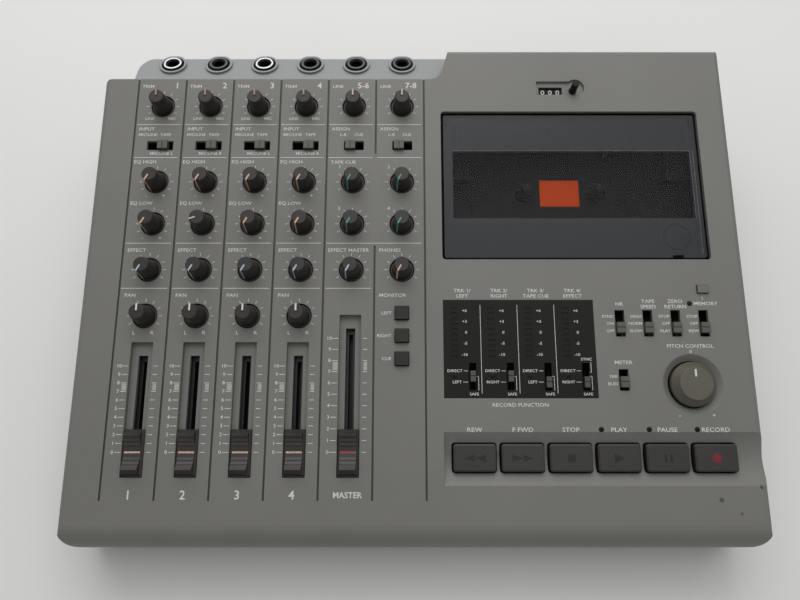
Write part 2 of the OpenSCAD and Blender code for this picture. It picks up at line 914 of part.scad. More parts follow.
module at_inlet() {
    translate([inlet_x - (socket_plate_x[0] + socket_plate_x[1]) / 2, 0, 0])
        children();
}

module meter_panel() {
    color("#1c1b1a")
        on_panel()
            difference() {
                translate([meter_x + meter_w / 2, meter_v + meter_d / 2, 0])
                    block(meter_w, meter_d, -meter_t, 0);
                at_segments()
                    block(segment_w, segment_d, -beyond, beyond);
                at_record_switches()
                    block(switch_slot_w - 1.4, mode_slot_l, -beyond, beyond);
                for (i = [1 : channels - 1])
                    translate([meter_x + meter_pitch * i, meter_v + meter_d / 2, 0])
                        block(0.5, meter_d - 5, -0.3, beyond);
            }
}

// A pot with a hollow bushing for its shaft
module pot(bore_d) {
    difference() {
        union() {
            block(pot_w, pot_w, board_top + seat, pot_top);
            rod(bore_d + 2.4, pot_top - eps, bushing_top);
        }
        rod(bore_d, shaft_end - 1, beyond);
    }
}

// A body with a slot, open at the top, for a sliding or pushed blade
module slotted_body(w, d, top, slot_w, slot_d) {
    difference() {
        block(w, d, board_top + seat, top);
        block(slot_w, slot_d, slider_floor, beyond);
    }
}

module push_switch() {
    slotted_body(6.2, 6.2, switch_body_top, stem_w + 2 * slack, stem_w + 2 * slack);
}

module switch_body(along_x, length) {
    long = length + 1;
    across_slot = stem_w + 2 * slack;
    if (along_x)
        slotted_body(long + 3, 6.4, switch_body_top, long - switch_cap_l + stem_w, across_slot);
    else
        slotted_body(6.4, long + 3, switch_body_top, across_slot, long - switch_cap_l + stem_w);
}

module board(x0, x1, v0, v1) {
    translate([x0, v0, board_top - board_t])
        cube([x1 - x0, v1 - v0, board_t]);
}

module control_boards() {
    color("#3f6b45")
        on_panel() {
            board(groove_x(0) - 3, mixer_end_x + 1, mixer_board_front_v, mixer_board_rear_v);
            board(deck_x - 2, body_w / 2 - board_inset, deck_board_front_v, deck_board_rear_v);
            at_small_knobs()
                pot(shaft_d + 2 * fit);
            translate([pitch_x, pitch_v, 0])
                pot(shaft_d + 2 * fit);
            for (i = [0 : channels])
                at_fader_middle(i)
                    slotted_body(9, fader_travel(i) + 15, slider_top,
                        blade_t + 2 * slack, fader_travel(i) + blade_l + 2 * slack);
            at_input_switches()
                switch_body(true, input_slot_l);
            at_assign_switches()
                switch_body(true, assign_slot_l);
            at_record_switches()
                switch_body(false, mode_slot_l);
            at_mode_switches()
                switch_body(false, mode_slot_l);
            at_meter_switch()
                switch_body(false, meter_slot_l);
            at_monitor_buttons()
                push_switch();
            at_memory_button()
                push_switch();
            for (i = [0 : keys - 1])
                at_key(i)
                    push_switch();
            for (i = [0 : channels - 1])
                translate([segment_x + meter_pitch * i,
                    segment_top_v - segment_pitch * (segments - 1) / 2, 0])
                    block(segment_w + 2, segment_pitch * segments + 0.5,
                        board_top + seat, -meter_t - clear);
        }
}

// ---- tape deck ----

module at_spindle(side) {
    translate([hub_x + side * spindle_pitch / 2, hub_v, 0])
        children();
}

module deck_chassis() {
    inner_w = well_x[1] - well_x[0];
    inner_d = well_v[1] - well_v[0];
    color("#2a2a2c")
        on_panel()
            difference() {
                translate([(well_x[0] + well_x[1]) / 2, (well_v[0] + well_v[1]) / 2, 0])
                    difference() {
                        block(inner_w + 2 * well_wall, inner_d + 2 * well_wall,
                            -platform_depth - platform_t, well_top);
                        difference() {
                            block(inner_w, inner_d, -platform_depth, beyond);
                            well_ledges(inner_w, inner_d);
                        }
                    }
                for (side = [-1, 1])
                    at_spindle(side)
                        rod(spindle_d + 2, -beyond * 2, beyond);
                translate([hub_x, hub_v + 30.3, 0])
                    block(92, 19.4, -beyond * 2, beyond);
                translate([hub_x, hub_v, 0])
                    block(23.4, 16.6, -platform_depth - 0.5, beyond);
                for (place = pockets)
                    translate([place[0], place[1], 0])
                        block(place[2], place[3], -platform_depth - pocket_depth, beyond);
                translate([deck_x - beyond, hinge_v, hinge_h])
                    rotate([0, 90, 0])
                        cylinder(h = door_open_w + 2 * beyond, d = hinge_pin_d + 2 * fit);
            }
}

// Blocks at the well's rear corners, which leave room for the door's ears
module well_ledges(inner_w, inner_d) {
    for (side = [-1, 1])
        translate([side * (inner_w / 2 - 8), inner_d / 2 - 20, 0])
            block(16 + eps, 40 + eps, -platform_depth - eps, -platform_depth + 4.5);
}

module tape_transport() {
    color("#8d8f92")
        on_panel() {
            difference() {
                union() {
                    translate([hub_x, plate_v, 0])
                        block(plate_size[0], plate_size[1], plate_top - plate_t, plate_top);
                    for (x = plate_post_x, v = plate_post_v)
                        translate([hub_x + x, plate_v + v, 0])
                            rod(plate_post_d, plate_top - eps, -platform_depth - platform_t);
                    for (side = [-1, 1])
                        at_spindle(side)
                            rod(bearing_d, plate_top - bearing_l, plate_top);
                    translate([capstan_x, capstan_v, 0])
                        rod(bearing_d, plate_top - 3, plate_top + 3);
                    head_bridge();
                }
                for (side = [-1, 1])
                    at_spindle(side)
                        rod(spindle_shaft_d + 2 * fit, -beyond * 2, beyond);
                translate([capstan_x, capstan_v, 0])
                    rod(capstan_d + 2 * slack, -beyond * 2, beyond);
            }
            translate([capstan_x, capstan_v, 0]) {
                rod(capstan_d, plate_top - 4.5 - flywheel_t, -4.5);
                rod(flywheel_d, plate_top - 4 - flywheel_t, plate_top - 4);
            }
            translate([motor_x, motor_v, plate_top - plate_t]) {
                rod(motor_d, -motor_h, -seat);
                rod(pulley_d, -motor_h - pulley_l, -motor_h + eps);
            }
        }
}

// Record and erase heads with the pinch roller, on one bridge behind the cassette
module head_bridge() {
    translate([hub_x, head_v, 0]) {
        block(78, 8, plate_top - eps, plate_top + 3);
        translate([0, -1, 0])
            block(12, 9, plate_top, -5);
        translate([-30, -1, 0])
            block(9, 8, plate_top, -6.5);
        translate([34, -4, 0]) {
            rod(3, plate_top + 2, -5);
            rod(9, -13.5, -6);
        }
    }
}

module cassette_door() {
    door_w = door_open_w - 2 * door_gap;
    door_d = door_open_d - 2 * door_gap - 0.2;
    ear_front_v = hinge_v - 5.5;
    ear_back_v = door_v + door_gap + door_d;
    ear_low_h = hinge_h - 2.8;
    color("#3a3c42")
        on_panel() {
            difference() {
                translate([door_mid_x, door_v + door_gap + door_d / 2, 0])
                    rounded_block(door_w, door_d, 1.2, -door_drop - door_t, -door_drop);
                translate([door_mid_x + 0.5, door_v + 24.8 + window_d / 2, 0])
                    block(window_w, window_d, -door_drop - 0.4, beyond);
                translate([door_mid_x + door_w / 2 - 16, door_v + door_gap, 0])
                    block(6, 3, -beyond, beyond);
            }
            for (side = [-1, 1])
                translate([door_mid_x + side * (door_w / 2 - 1.4), 0, 0]) {
                    translate([-1.4, ear_front_v, ear_low_h])
                        cube([2.8, ear_back_v - ear_front_v, -door_drop - 1 - ear_low_h]);
                    translate([side > 0 ? 0 : -hinge_pin_l, hinge_v, hinge_h])
                        rotate([0, 90, 0])
                            cylinder(h = hinge_pin_l, d = hinge_pin_d);
                }
        }
}

// Spindle with six splines, a tapered tip and a shaft that turns in the transport's bearing
module spindle(side) {
    foot = -platform_depth - 0.6;
    tip = -platform_depth + spindle_h;
    hub_d = spindle_d - 2.8;
    color("#18181a")
        on_panel()
            at_spindle(side) {
                rod(spindle_d + 1, foot - 1, foot + 1.2);
                rod(hub_d, foot, tip - 2);
                cone(hub_d, hub_d - 3, tip - 2, tip);
                for (k = [0 : 5])
                    rotate([0, 0, 60 * k])
                        translate([0, -0.6, foot])
                            cube([spindle_d / 2, 1.2, tip - 3 - foot]);
                rod(spindle_shaft_d, plate_top - 8, foot);
            }
}

module supply_spindle() {
    spindle(-1);
}

module take_up_spindle() {
    spindle(1);
}

module counter_wheels() {
    length = counter_wheels_n * counter_wheel_w;
    color("#1a1a1a")
        on_panel()
            translate([counter_x - length / 2, counter_v, counter_axle_h])
                rotate([0, 90, 0]) {
                    for (i = [0 : counter_wheels_n - 1])
                        rod(counter_wheel_d, i * counter_wheel_w + 0.15, (i + 1) * counter_wheel_w - 0.15);
                    rod(counter_axle_d, length / 2 - counter_half, length / 2 + counter_half);
                }
}

module counter_reset_button() {
    color("#141414")
        on_panel()
            translate([reset_x, counter_v, 0]) {
                rod(reset_d, -9, reset_h - 0.5);
                cone(reset_d, reset_d - 1, reset_h - 0.5, reset_h);
            }
}

// ---- knobs, faders and switch caps ----

// Flange, tapered body with a pointer rib, turned clockwise by turn, and the shaft below
module small_knob(x, v, turn) {
    color("#35332f")
        on_panel()
            translate([x, v, 0]) {
                rod(flange_d, knob_foot, knob_foot + 1);
                cone(knob_base_d, knob_top_d, knob_foot + 1 - eps, knob_h - 0.6);
                cone(knob_top_d, knob_top_d - 1, knob_h - 0.6 - eps, knob_h);
                rotate([0, 0, -turn])
                    across(rib_w)
                        polygon(rib_side());
                rod(shaft_d, shaft_end, knob_foot + eps);
            }
}

// Side view of the pointer rib, from the knob's axis over the top and down to the flange
function rib_side() = [
    [0, knob_h - 2],
    [knob_base_d / 2 - 2, knob_foot + 1],
    [knob_base_d / 2 + rib_h, knob_foot + 1],
    [knob_top_d / 2 + rib_h, knob_h - 0.6],
    [knob_top_d / 2 - 0.5 + rib_h / 2, knob_h + rib_h],
    [0, knob_h + rib_h]
];

module row_knob(row, i) {
    small_knob(column_x(i - 1), row_v(row), row_turn(row, i));
}

// Trim and pan knobs point straight back, and the others stand at their low stop
function row_turn(row, i) = row == "trim" || row == "pan" ? 0
    : row == "eq_low" && i == 2 ? eq_low_2_turn
    : low_stop;

module tape_cue_knob(i) {
    small_knob(column_x(channels + (i - 1) % 2), i < 3 ? eq_high_v : eq_low_v, low_stop);
}

module line_knob(i) {
    small_knob(column_x(channels + i - 1), trim_v, 0);
}

module effect_master_knob() {
    small_knob(column_x(channels), effect_v, low_stop);
}

module phones_knob() {
    small_knob(column_x(channels + 1), effect_v, low_stop);
}

module pitch_knob() {
    cap_d = pitch_d - 6.5;
    skirt_h = 3;
    color("#625f52")
        on_panel()
            translate([pitch_x, pitch_v, 0]) {
                difference() {
                    union() {
                        rod(pitch_d, -dish_depth + slack, -dish_depth + skirt_h);
                        cone(pitch_d, cap_d + 0.8, -dish_depth + skirt_h - eps, pitch_h - 0.6);
                        cone(cap_d + 0.8, cap_d, pitch_h - 0.6 - eps, pitch_h);
                    }
                    translate([-0.6, cap_d / 2 - 5, pitch_h - 0.3])
                        cube([1.2, 4, beyond]);
                }
                rod(shaft_d, shaft_end, -dish_depth + slack + eps);
            }
}

// Radius of the saddle between a fader cap's raised ends
cap_top_l = cap_l - 6.2;
saddle_r = (cap_top_l * cap_top_l / 4 + saddle * saddle) / (2 * saddle);

function saddle_h(v) = cap_h - saddle + saddle_r - sqrt(saddle_r * saddle_r - v * v);

// Side view of a fader cap: a saddle between two raised ends
function cap_side() =
    let (half = asin(cap_top_l / 2 / saddle_r))
    concat(
        [[-cap_l / 2, fader_foot], [cap_l / 2, fader_foot], [cap_l / 2, cap_shoulder]],
        arc(0, saddle_h(0) + saddle_r, saddle_r, 270 + half, 270 - half, 8),
        [[-cap_l / 2, cap_shoulder]]
    );

// Front view of a fader cap: upright at the foot, drawn in above the shoulder
function cap_front() = [
    [-cap_w / 2, -beyond],
    [cap_w / 2, -beyond],
    [cap_w / 2, cap_shoulder],
    [cap_w / 2 - 1.2, cap_shoulder + 1],
    [cap_w / 2 - 1.7, beyond],
    [-cap_w / 2 + 1.7, beyond],
    [-cap_w / 2 + 1.2, cap_shoulder + 1],
    [-cap_w / 2, cap_shoulder]
];

module fader_cap(i) {
    color("#43413b")
        on_panel()
            translate([column_x(i), fader_zero_v, 0]) {
                intersection() {
                    union() {
                        across(cap_w)
                            polygon(cap_side());
                        for (side = [-1, 1], v = cap_rib_vs)
                            translate([0, side * v, 0])
                                block(cap_w, 0.6, fader_foot + 1, saddle_h(v) + cap_rib_h);
                    }
                    rotate([90, 0, 0])
                        translate([0, 0, -cap_l])
                            linear_extrude(2 * cap_l)
                                polygon(cap_front());
                }
                block(blade_t, blade_l, blade_end, fader_foot + 1);
            }
}

module channel_fader(i) {
    fader_cap(i - 1);
}

module master_fader() {
    fader_cap(channels);
}

// Cap of a slide switch with a finger groove across its middle
module switch_cap(w, l) {
    difference() {
        block(w, l, switch_foot, switch_cap_h);
        if (l > w)
            block(w + 1, 0.7, switch_cap_h - 0.6, beyond);
        else
            block(0.7, l + 1, switch_cap_h - 0.6, beyond);
    }
    block(stem_w, stem_w, stem_end, switch_foot + eps);
}

module input_switch_caps() {
    color("#6e6c62")
        on_panel()
            at_input_switches()
                translate([2, 0, 0])
                    switch_cap(switch_cap_l, switch_slot_w - 0.2);
}

module assign_switch_caps() {
    color("#6e6c62")
        on_panel()
            at_assign_switches()
                translate([-2, 0, 0])
                    switch_cap(switch_cap_l, switch_slot_w - 0.2);
}

// The first two caps stand in the middle of their slots and the others nearer the front
module record_function_switch_caps() {
    color("#6e6c62")
        on_panel()
            for (i = [0 : channels - 1])
                translate([record_slot_x + meter_pitch * i, record_slot_v - (i < 2 ? 0 : 3.1), 0])
                    switch_cap(switch_slot_w - 2.4, switch_cap_l);
}

module mode_switch_caps() {
    color("#6e6c62")
        on_panel()
            at_mode_switches()
                translate([0, -2.6, 0])
                    switch_cap(switch_slot_w - 0.6, switch_cap_l);
}

module meter_switch_cap() {
    color("#6e6c62")
        on_panel()
            at_meter_switch()
                translate([0, -1.2, 0])
                    switch_cap(switch_slot_w - 0.6, switch_cap_l);
}

module monitor_and_memory_buttons() {
    color("#4a4944")
        on_panel() {
            at_monitor_buttons() {
                rounded_block(button_w, button_w, 0.5, switch_foot, button_h);
                block(stem_w, stem_w, stem_end, switch_foot + eps);
            }
            at_memory_button() {
                block(memory_w, memory_d, switch_foot, memory_h);
                block(stem_w, stem_w, stem_end, switch_foot + eps);
            }
        }
}

module transport_key(i) {
    color(i == keys - 1 ? "#46423f" : "#42413c")
        on_panel()
            at_key(i) {
                rounded_block(key_w, key_d, 1.2, key_foot, key_top - 0.5);
                rounded_block(key_w - 1, key_d - 1, 0.9, key_top - 0.5 - eps, key_top);
                block(stem_w, stem_w, stem_end, key_foot + eps);
            }
}

upper_case();
lower_case();
rubber_feet();
input_jacks();
rear_sockets();
meter_panel();
control_boards();
deck_chassis();
tape_transport();
cassette_door();
supply_spindle();
take_up_spindle();
counter_wheels();
counter_reset_button();
for (row = knob_rows, i = [1 : channels])
    row_knob(row, i);
for (i = [1 : channels])
    tape_cue_knob(i);
for (i = [1 : 2])
    line_knob(i);
effect_master_knob();
phones_knob();
pitch_knob();
for (i = [1 : channels])
    channel_fader(i);
master_fader();
input_switch_caps();
assign_switch_caps();
record_function_switch_caps();
mode_switch_caps();
meter_switch_cap();
monitor_and_memory_buttons();
for (i = [0 : keys - 1])
    transport_key(i);
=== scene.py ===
import math
import bpy
from mathutils import Matrix, Vector


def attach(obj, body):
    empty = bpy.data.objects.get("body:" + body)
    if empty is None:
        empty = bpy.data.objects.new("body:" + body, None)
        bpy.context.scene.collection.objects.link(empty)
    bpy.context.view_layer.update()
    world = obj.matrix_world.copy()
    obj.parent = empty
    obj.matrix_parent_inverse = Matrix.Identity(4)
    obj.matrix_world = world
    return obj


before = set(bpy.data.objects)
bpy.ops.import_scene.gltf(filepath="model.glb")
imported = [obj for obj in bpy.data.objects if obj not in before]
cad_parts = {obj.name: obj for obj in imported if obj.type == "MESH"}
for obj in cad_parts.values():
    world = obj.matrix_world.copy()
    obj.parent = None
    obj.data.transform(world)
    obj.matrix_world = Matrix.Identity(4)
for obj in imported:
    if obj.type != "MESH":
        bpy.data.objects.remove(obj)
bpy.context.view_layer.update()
print("frame loaded")

# The control panel's own frame, in mm: x across, v up the slope from the front edge, h above the panel
panel = {"slope": 6.0, "frontHeight": 47.0, "tapeSideDepth": 282.0, "socketReach": 7.5}
slope = math.radians(panel["slope"])
overallDepth = panel["tapeSideDepth"] * math.cos(slope) + panel["socketReach"]
panelToWorld = (
    Matrix.Translation((0, -overallDepth / 2000, panel["frontHeight"] / 1000))
    @ Matrix.Rotation(slope, 4, "X")
    @ Matrix.Scale(0.001, 4)
)

# Mixer columns and rows, shared by the print and the pointers
mixer = {
    "pitch": 28.0, "firstGroove": -161.9, "knobOffset": 1.2,
    "trim": 244.6, "eqHigh": 197.3, "eqLow": 172.1, "effect": 145.4, "pan": 119.4,
    "faderZero": 47.0, "channelTravel": 45.0, "masterTravel": 60.0,
}
deck = {"x": 15.8, "hubX": 86.5, "hubV": 196.4}
meter = {"pitch": 20.15}


def grooveX(i):
    return mixer["firstGroove"] + mixer["pitch"] * i


def columnX(i):
    return grooveX(i) + mixer["pitch"] / 2 + mixer["knobOffset"]


def deselectAll():
    if bpy.context.object and bpy.context.object.mode != "OBJECT":
        bpy.ops.object.mode_set(mode="OBJECT")
    bpy.ops.object.select_all(action="DESELECT")


def selectOnly(piece):
    deselectAll()
    piece.select_set(True)
    bpy.context.view_layer.objects.active = piece


def joined(pieces, name):
    selectOnly(pieces[0])
    for piece in pieces:
        piece.select_set(True)
    if len(pieces) > 1:
        bpy.ops.object.join()
    whole = bpy.context.object
    whole.name = whole.data.name = name
    return whole


def applyPlace(piece):
    selectOnly(piece)
    bpy.ops.object.transform_apply(location=True, rotation=True, scale=True)


def applyModifier(piece, kind, **settings):
    selectOnly(piece)
    modifier = piece.modifiers.new(kind.title(), kind)
    for key, value in settings.items():
        setattr(modifier, key, value)
    bpy.ops.object.modifier_apply(modifier=modifier.name)


def smoothed(piece, degrees=40):
    selectOnly(piece)
    bpy.ops.object.shade_smooth_by_angle(angle=math.radians(degrees))


# Turns a profile of (radius, height) pairs about the upright axis: a ring or a disc is extruded and
# resized step by step. A closed profile ends where it starts and leaves a hole.
def turned(profile, sides=32, closed=False):
    radius, height = profile[0]
    deselectAll()
    bpy.ops.mesh.primitive_circle_add(vertices=sides, radius=radius, location=(0, 0, height),
                                      fill_type="NOTHING" if closed else "NGON")
    piece = bpy.context.object
    applyPlace(piece)
    bpy.ops.object.mode_set(mode="EDIT")
    bpy.ops.mesh.select_mode(type="EDGE" if closed else "FACE")
    bpy.ops.mesh.select_all(action="SELECT")
    for nextRadius, nextHeight in profile[1:]:
        move = {"value": (0, 0, nextHeight - height)}
        if closed:
            bpy.ops.mesh.extrude_edges_move(TRANSFORM_OT_translate=move)
        else:
            bpy.ops.mesh.extrude_region_move(TRANSFORM_OT_translate=move)
        ratio = nextRadius / radius
        bpy.ops.transform.resize(value=(ratio, ratio, 1), center_override=(0, 0, nextHeight))
        radius, height = nextRadius, nextHeight
    bpy.ops.mesh.select_all(action="SELECT")
    bpy.ops.mesh.remove_doubles(threshold=0.0001)
    bpy.ops.mesh.normals_make_consistent(inside=False)
    bpy.ops.object.mode_set(mode="OBJECT")
    smoothed(piece)
    return piece


# A block between two corners
def blockBetween(low, high):
    deselectAll()
    size = [b - a for a, b in zip(low, high)]
    middle = [(a + b) / 2 for a, b in zip(low, high)]
    bpy.ops.mesh.primitive_cube_add(size=1, location=middle)
    piece = bpy.context.object
    piece.scale = size
    applyPlace(piece)
    return piece


def copied(piece, name, matrix):
    copy = piece.copy()
    copy.data = piece.data.copy()
    copy.name = copy.data.name = name
    bpy.context.scene.collection.objects.link(copy)
    copy.data.transform(matrix)
    return copy


def at(x, v, h=0.0, turn=0.0):
    return Matrix.Translation((x, v, h)) @ Matrix.Rotation(math.radians(-turn), 4, "Z")


# Puts a finished piece into the object's frame and lets it ride on its body
def settle(piece, body, material=None):
    applyPlace(piece)
    piece.data.transform(panelToWorld)
    piece.data.update()
    if material:
        piece.data.materials.clear()
        piece.data.materials.append(material)
    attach(piece, body)
    return piece


def hexColour(code):
    parts = [int(code[i:i + 2], 16) / 255 for i in (1, 3, 5)]
    return (*[c / 12.92 if c <= 0.04045 else ((c + 0.055) / 1.055) ** 2.4 for c in parts], 1.0)


def addNode(tree, kind, sockets=None, **settings):
    node = tree.nodes.new(kind)
    for key, value in settings.items():
        setattr(node, key, value)
    for key, value in (sockets or {}).items():
        if isinstance(value, bpy.types.NodeSocket):
            tree.links.new(value, node.inputs[key])
        else:
            node.inputs[key].default_value = value
    return node


def mixColours(tree, factor, first, second):
    return addNode(tree, "ShaderNodeMix", {0: factor, 6: first, 7: second}, data_type="RGBA").outputs[2]


def startMaterial(name):
    material = bpy.data.materials.new(name)
    material.use_nodes = True
    tree = material.node_tree
    tree.nodes.clear()
    output = tree.nodes.new("ShaderNodeOutputMaterial")
    place = tree.nodes.new("ShaderNodeTexCoord").outputs["Object"]
    return material, tree, output, place


# A material's place in the control panel's own frame, in metres
def onPanel(tree, place):
    start = Matrix.Rotation(-slope, 3, "X") @ Vector((0, -overallDepth / 2000, panel["frontHeight"] / 1000))
    turnedBack = addNode(tree, "ShaderNodeMapping", {"Vector": place, "Location": -start,
                                                     "Rotation": (-slope, 0, 0)})
    return turnedBack.outputs[0]


def calculated(tree, operation, *values):
    return addNode(tree, "ShaderNodeMath", dict(enumerate(values)), operation=operation).outputs[0]


def product(tree, *values):
    whole = values[0]
    for value in values[1:]:
        whole = calculated(tree, "MULTIPLY", whole, value)
    return whole


# Moulded plastic: a spark-eroded grain, a slow unevenness of the resin's colour, and edges that
# years of handling have polished paler. The grain is drawn coarser than real so that it shows.
def mouldedPlastic(name, look, extra=None):
    material, tree, output, place = startMaterial(name)
    grain = addNode(tree, "ShaderNodeTexNoise",
                    {"Vector": place, "Scale": 1000 / look["grainMm"], "Detail": 3})
    cloud = addNode(tree, "ShaderNodeTexNoise",
                    {"Vector": place, "Scale": 1000 / look["cloudMm"], "Detail": 2})
    corner = addNode(tree, "ShaderNodeBevel", {"Radius": look["edgeMm"] / 1000}, samples=6)
    flat = tree.nodes.new("ShaderNodeNewGeometry").outputs["Normal"]
    turn = addNode(tree, "ShaderNodeVectorMath", {0: corner.outputs[0], 1: flat}, operation="DOT_PRODUCT")
    rub = addNode(tree, "ShaderNodeMapRange", {"Value": turn.outputs["Value"], "From Min": 0.995,
                                              "From Max": 0.85, "To Max": look["wear"]})
    colour = mixColours(tree, cloud.outputs["Fac"], hexColour(look["dark"]), hexColour(look["light"]))
    if extra:
        colour = extra(tree, place, colour)
    colour = mixColours(tree, rub.outputs[0], colour, hexColour(look["rubbed"]))
    rough = addNode(tree, "ShaderNodeMapRange", {
        "Value": grain.outputs["Fac"], "To Min": look["rough"] - 0.06, "To Max": look["rough"] + 0.06})
    bump = addNode(tree, "ShaderNodeBump", {"Strength": look["bump"], "Distance": look["grainMm"] / 4000,
                                           "Height": grain.outputs["Fac"], "Normal": corner.outputs[0]})
    shader = addNode(tree, "ShaderNodeBsdfPrincipled", {"Base Color": colour, "Roughness": rough.outputs[0],
                                                       "IOR": 1.53, "Normal": bump.outputs[0],
                                                       "Specular IOR Level": look.get("gloss", 0.5)})
    tree.links.new(shader.outputs[0], output.inputs["Surface"])
    return material


# Ink from a screen: matt, a little uneven where the mesh left less of it
def screenInk(name, look):
    material, tree, output, place = startMaterial(name)
    film = addNode(tree, "ShaderNodeTexNoise", {"Vector": place, "Scale": 1000 / look["meshMm"], "Detail": 2})
    thin = addNode(tree, "ShaderNodeMapRange",
                   {"Value": film.outputs["Fac"], "From Min": 0.35, "From Max": 0.6})
    colour = mixColours(tree, thin.outputs[0], hexColour(look["thin"]), hexColour(look["full"]))
    shader = addNode(tree, "ShaderNodeBsdfPrincipled", {"Base Color": colour, "Roughness": look["rough"],
                                                       "IOR": 1.5})
    tree.links.new(shader.outputs[0], output.inputs["Surface"])
    return material


# Plated or brushed metal with fine turning marks and a faint haze
def platedMetal(name, look):
    material, tree, output, place = startMaterial(name)
    marks = addNode(tree, "ShaderNodeTexNoise",
                    {"Vector": place, "Scale": 1000 / look["markMm"], "Detail": 4})
    rough = addNode(tree, "ShaderNodeMapRange", {"Value": marks.outputs["Fac"], "To Min": look["rough"] * 0.7,
                                                "To Max": look["rough"] * 1.4})
    colour = mixColours(tree, marks.outputs["Fac"], hexColour(look["dark"]), hexColour(look["light"]))
    bump = addNode(tree, "ShaderNodeBump",
                   {"Strength": 0.15, "Distance": 0.0001, "Height": marks.outputs["Fac"]})
    shader = addNode(tree, "ShaderNodeBsdfPrincipled", {
        "Base Color": colour, "Metallic": 1.0, "Roughness": rough.outputs[0], "Normal": bump.outputs[0]})
    tree.links.new(shader.outputs[0], output.inputs["Surface"])
    return material


# Smoke-tinted acrylic: blasted on its border and polished in the window that is milled into it
def smokedAcrylic(name, look):
    material, tree, output, place = startMaterial(name)
    parts = addNode(tree, "ShaderNodeSeparateXYZ", {"Vector": onPanel(tree, place)})
    across = calculated(tree, "COMPARE", parts.outputs["X"], *look["windowX"])
    along = calculated(tree, "COMPARE", parts.outputs["Y"], *look["windowV"])
    clear = product(tree, across, along)
    blast = addNode(tree, "ShaderNodeTexNoise",
                    {"Vector": place, "Scale": 1000 / look["grainMm"], "Detail": 2})
    dust = addNode(tree, "ShaderNodeTexNoise", {"Vector": place, "Scale": 1000 / look["dustMm"], "Detail": 4})
    rough = addNode(tree, "ShaderNodeMapRange", {"Value": dust.outputs["Fac"], "To Min": look["rough"] * 0.8,
                                                "To Max": look["rough"] * 1.25})
    smooth = addNode(tree, "ShaderNodeMix", {0: clear, 2: rough.outputs[0], 3: look["polish"]},
                     data_type="FLOAT")
    tint = mixColours(tree, clear, hexColour(look["border"]), hexColour(look["window"]))
    cover = addNode(tree, "ShaderNodeMix", {0: clear, 2: look["borderCover"], 3: look["windowCover"]},
                    data_type="FLOAT")
    grain = product(tree, blast.outputs["Fac"], calculated(tree, "SUBTRACT", 1.0, clear))
    bump = addNode(tree, "ShaderNodeBump", {"Strength": look["bump"], "Distance": 0.00005,
                                           "Height": grain})
    shader = addNode(tree, "ShaderNodeBsdfPrincipled", {
        "Base Color": tint, "Roughness": smooth.outputs[0], "IOR": 1.49,
        "Alpha": cover.outputs[0], "Normal": bump.outputs[0]})
    tree.links.new(shader.outputs[0], output.inputs["Surface"])
    return material


# The shelf behind the mixer is painted paler where it faces up, a painted sheen standing in for the window
# light it reflects; the grooves between the strips get painted shade, and old scuffs mark the panel's front
# corner. Places are on the control panel, in m.
paintedShelfSheen = {"fromV": 0.2632, "below": -0.0022, "level": 0.55, "toX": 0.026, "share": 0.75, "colour": "#9A9E9F"}
paintedGrooveShade = {"halfWidth": 0.0006, "height": -0.0011, "spread": 0.00101, "fromV": 0.015, "toX": 0.0075,
              "share": 0.85, "colour": "#1E1D1A"}
scuff = {"spots": ((0.1573, 0.0232, 0.001), (0.1785, 0.0294, 0.0009), (0.1668, 0.0164, 0.0007)),
         "edgeScale": 700.0, "ragged": 0.002, "share": 0.75, "colour": "#33322E"}


def shelfAndScuffs(tree, place, colour):
    spot = onPanel(tree, place)
    parts = addNode(tree, "ShaderNodeSeparateXYZ", {"Vector": spot})
    normal = tree.nodes.new("ShaderNodeNewGeometry").outputs["Normal"]
    facing = addNode(tree, "ShaderNodeSeparateXYZ", {"Vector": normal})
    # Painted sheen: the upward-facing shelf is mixed toward a paler colour for the window light it reflects
    shelfSheenMask = product(
        tree,
        calculated(tree, "GREATER_THAN", parts.outputs["Y"], paintedShelfSheen["fromV"]),
        calculated(tree, "LESS_THAN", parts.outputs["Z"], paintedShelfSheen["below"]),
        calculated(tree, "GREATER_THAN", facing.outputs["Z"], paintedShelfSheen["level"]),
        calculated(tree, "LESS_THAN", parts.outputs["X"], paintedShelfSheen["toX"]),
        paintedShelfSheen["share"])
    colour = mixColours(tree, shelfSheenMask, colour, hexColour(paintedShelfSheen["colour"]))
    fromFirst = calculated(tree, "SUBTRACT", parts.outputs["X"], mixer["firstGroove"] / 1000)
    fromGroove = calculated(tree, "PINGPONG", fromFirst, mixer["pitch"] / 2000)
    # Painted shade: the recessed grooves between the strips are darkened where shade falls in them
    grooveShadeMask = product(
        tree,
        calculated(tree, "LESS_THAN", fromGroove, paintedGrooveShade["halfWidth"]),
        calculated(tree, "COMPARE", parts.outputs["Z"], paintedGrooveShade["height"], paintedGrooveShade["spread"]),
        calculated(tree, "GREATER_THAN", parts.outputs["Y"], paintedGrooveShade["fromV"]),
        calculated(tree, "LESS_THAN", parts.outputs["X"], paintedGrooveShade["toX"]),
        paintedGrooveShade["share"])
    colour = mixColours(tree, grooveShadeMask, colour, hexColour(paintedGrooveShade["colour"]))
    edge = addNode(tree, "ShaderNodeTexNoise", {"Vector": place, "Scale": scuff["edgeScale"], "Detail": 3})
    for x, v, radius in scuff["spots"]:
        far = addNode(tree, "ShaderNodeVectorMath", {0: spot, 1: (x, v, 0)}, operation="DISTANCE")
        ragged = calculated(tree, "MULTIPLY_ADD", edge.outputs["Fac"], scuff["ragged"], far.outputs["Value"])
        mark = calculated(tree, "LESS_THAN", ragged, radius + scuff["ragged"] / 2)
        colour = mixColours(tree, product(tree, mark, scuff["share"]), colour, hexColour(scuff["colour"]))
    return colour


# The memory button is moulded in the colour of the case
memoryButton = {"fromX": 0.145, "colour": "#6F6E68"}


def memoryPart(tree, place, colour):
    across = addNode(tree, "ShaderNodeSeparateXYZ", {"Vector": place}).outputs["X"]
    past = calculated(tree, "GREATER_THAN", across, memoryButton["fromX"])
    return mixColours(tree, past, colour, hexColour(memoryButton["colour"]))


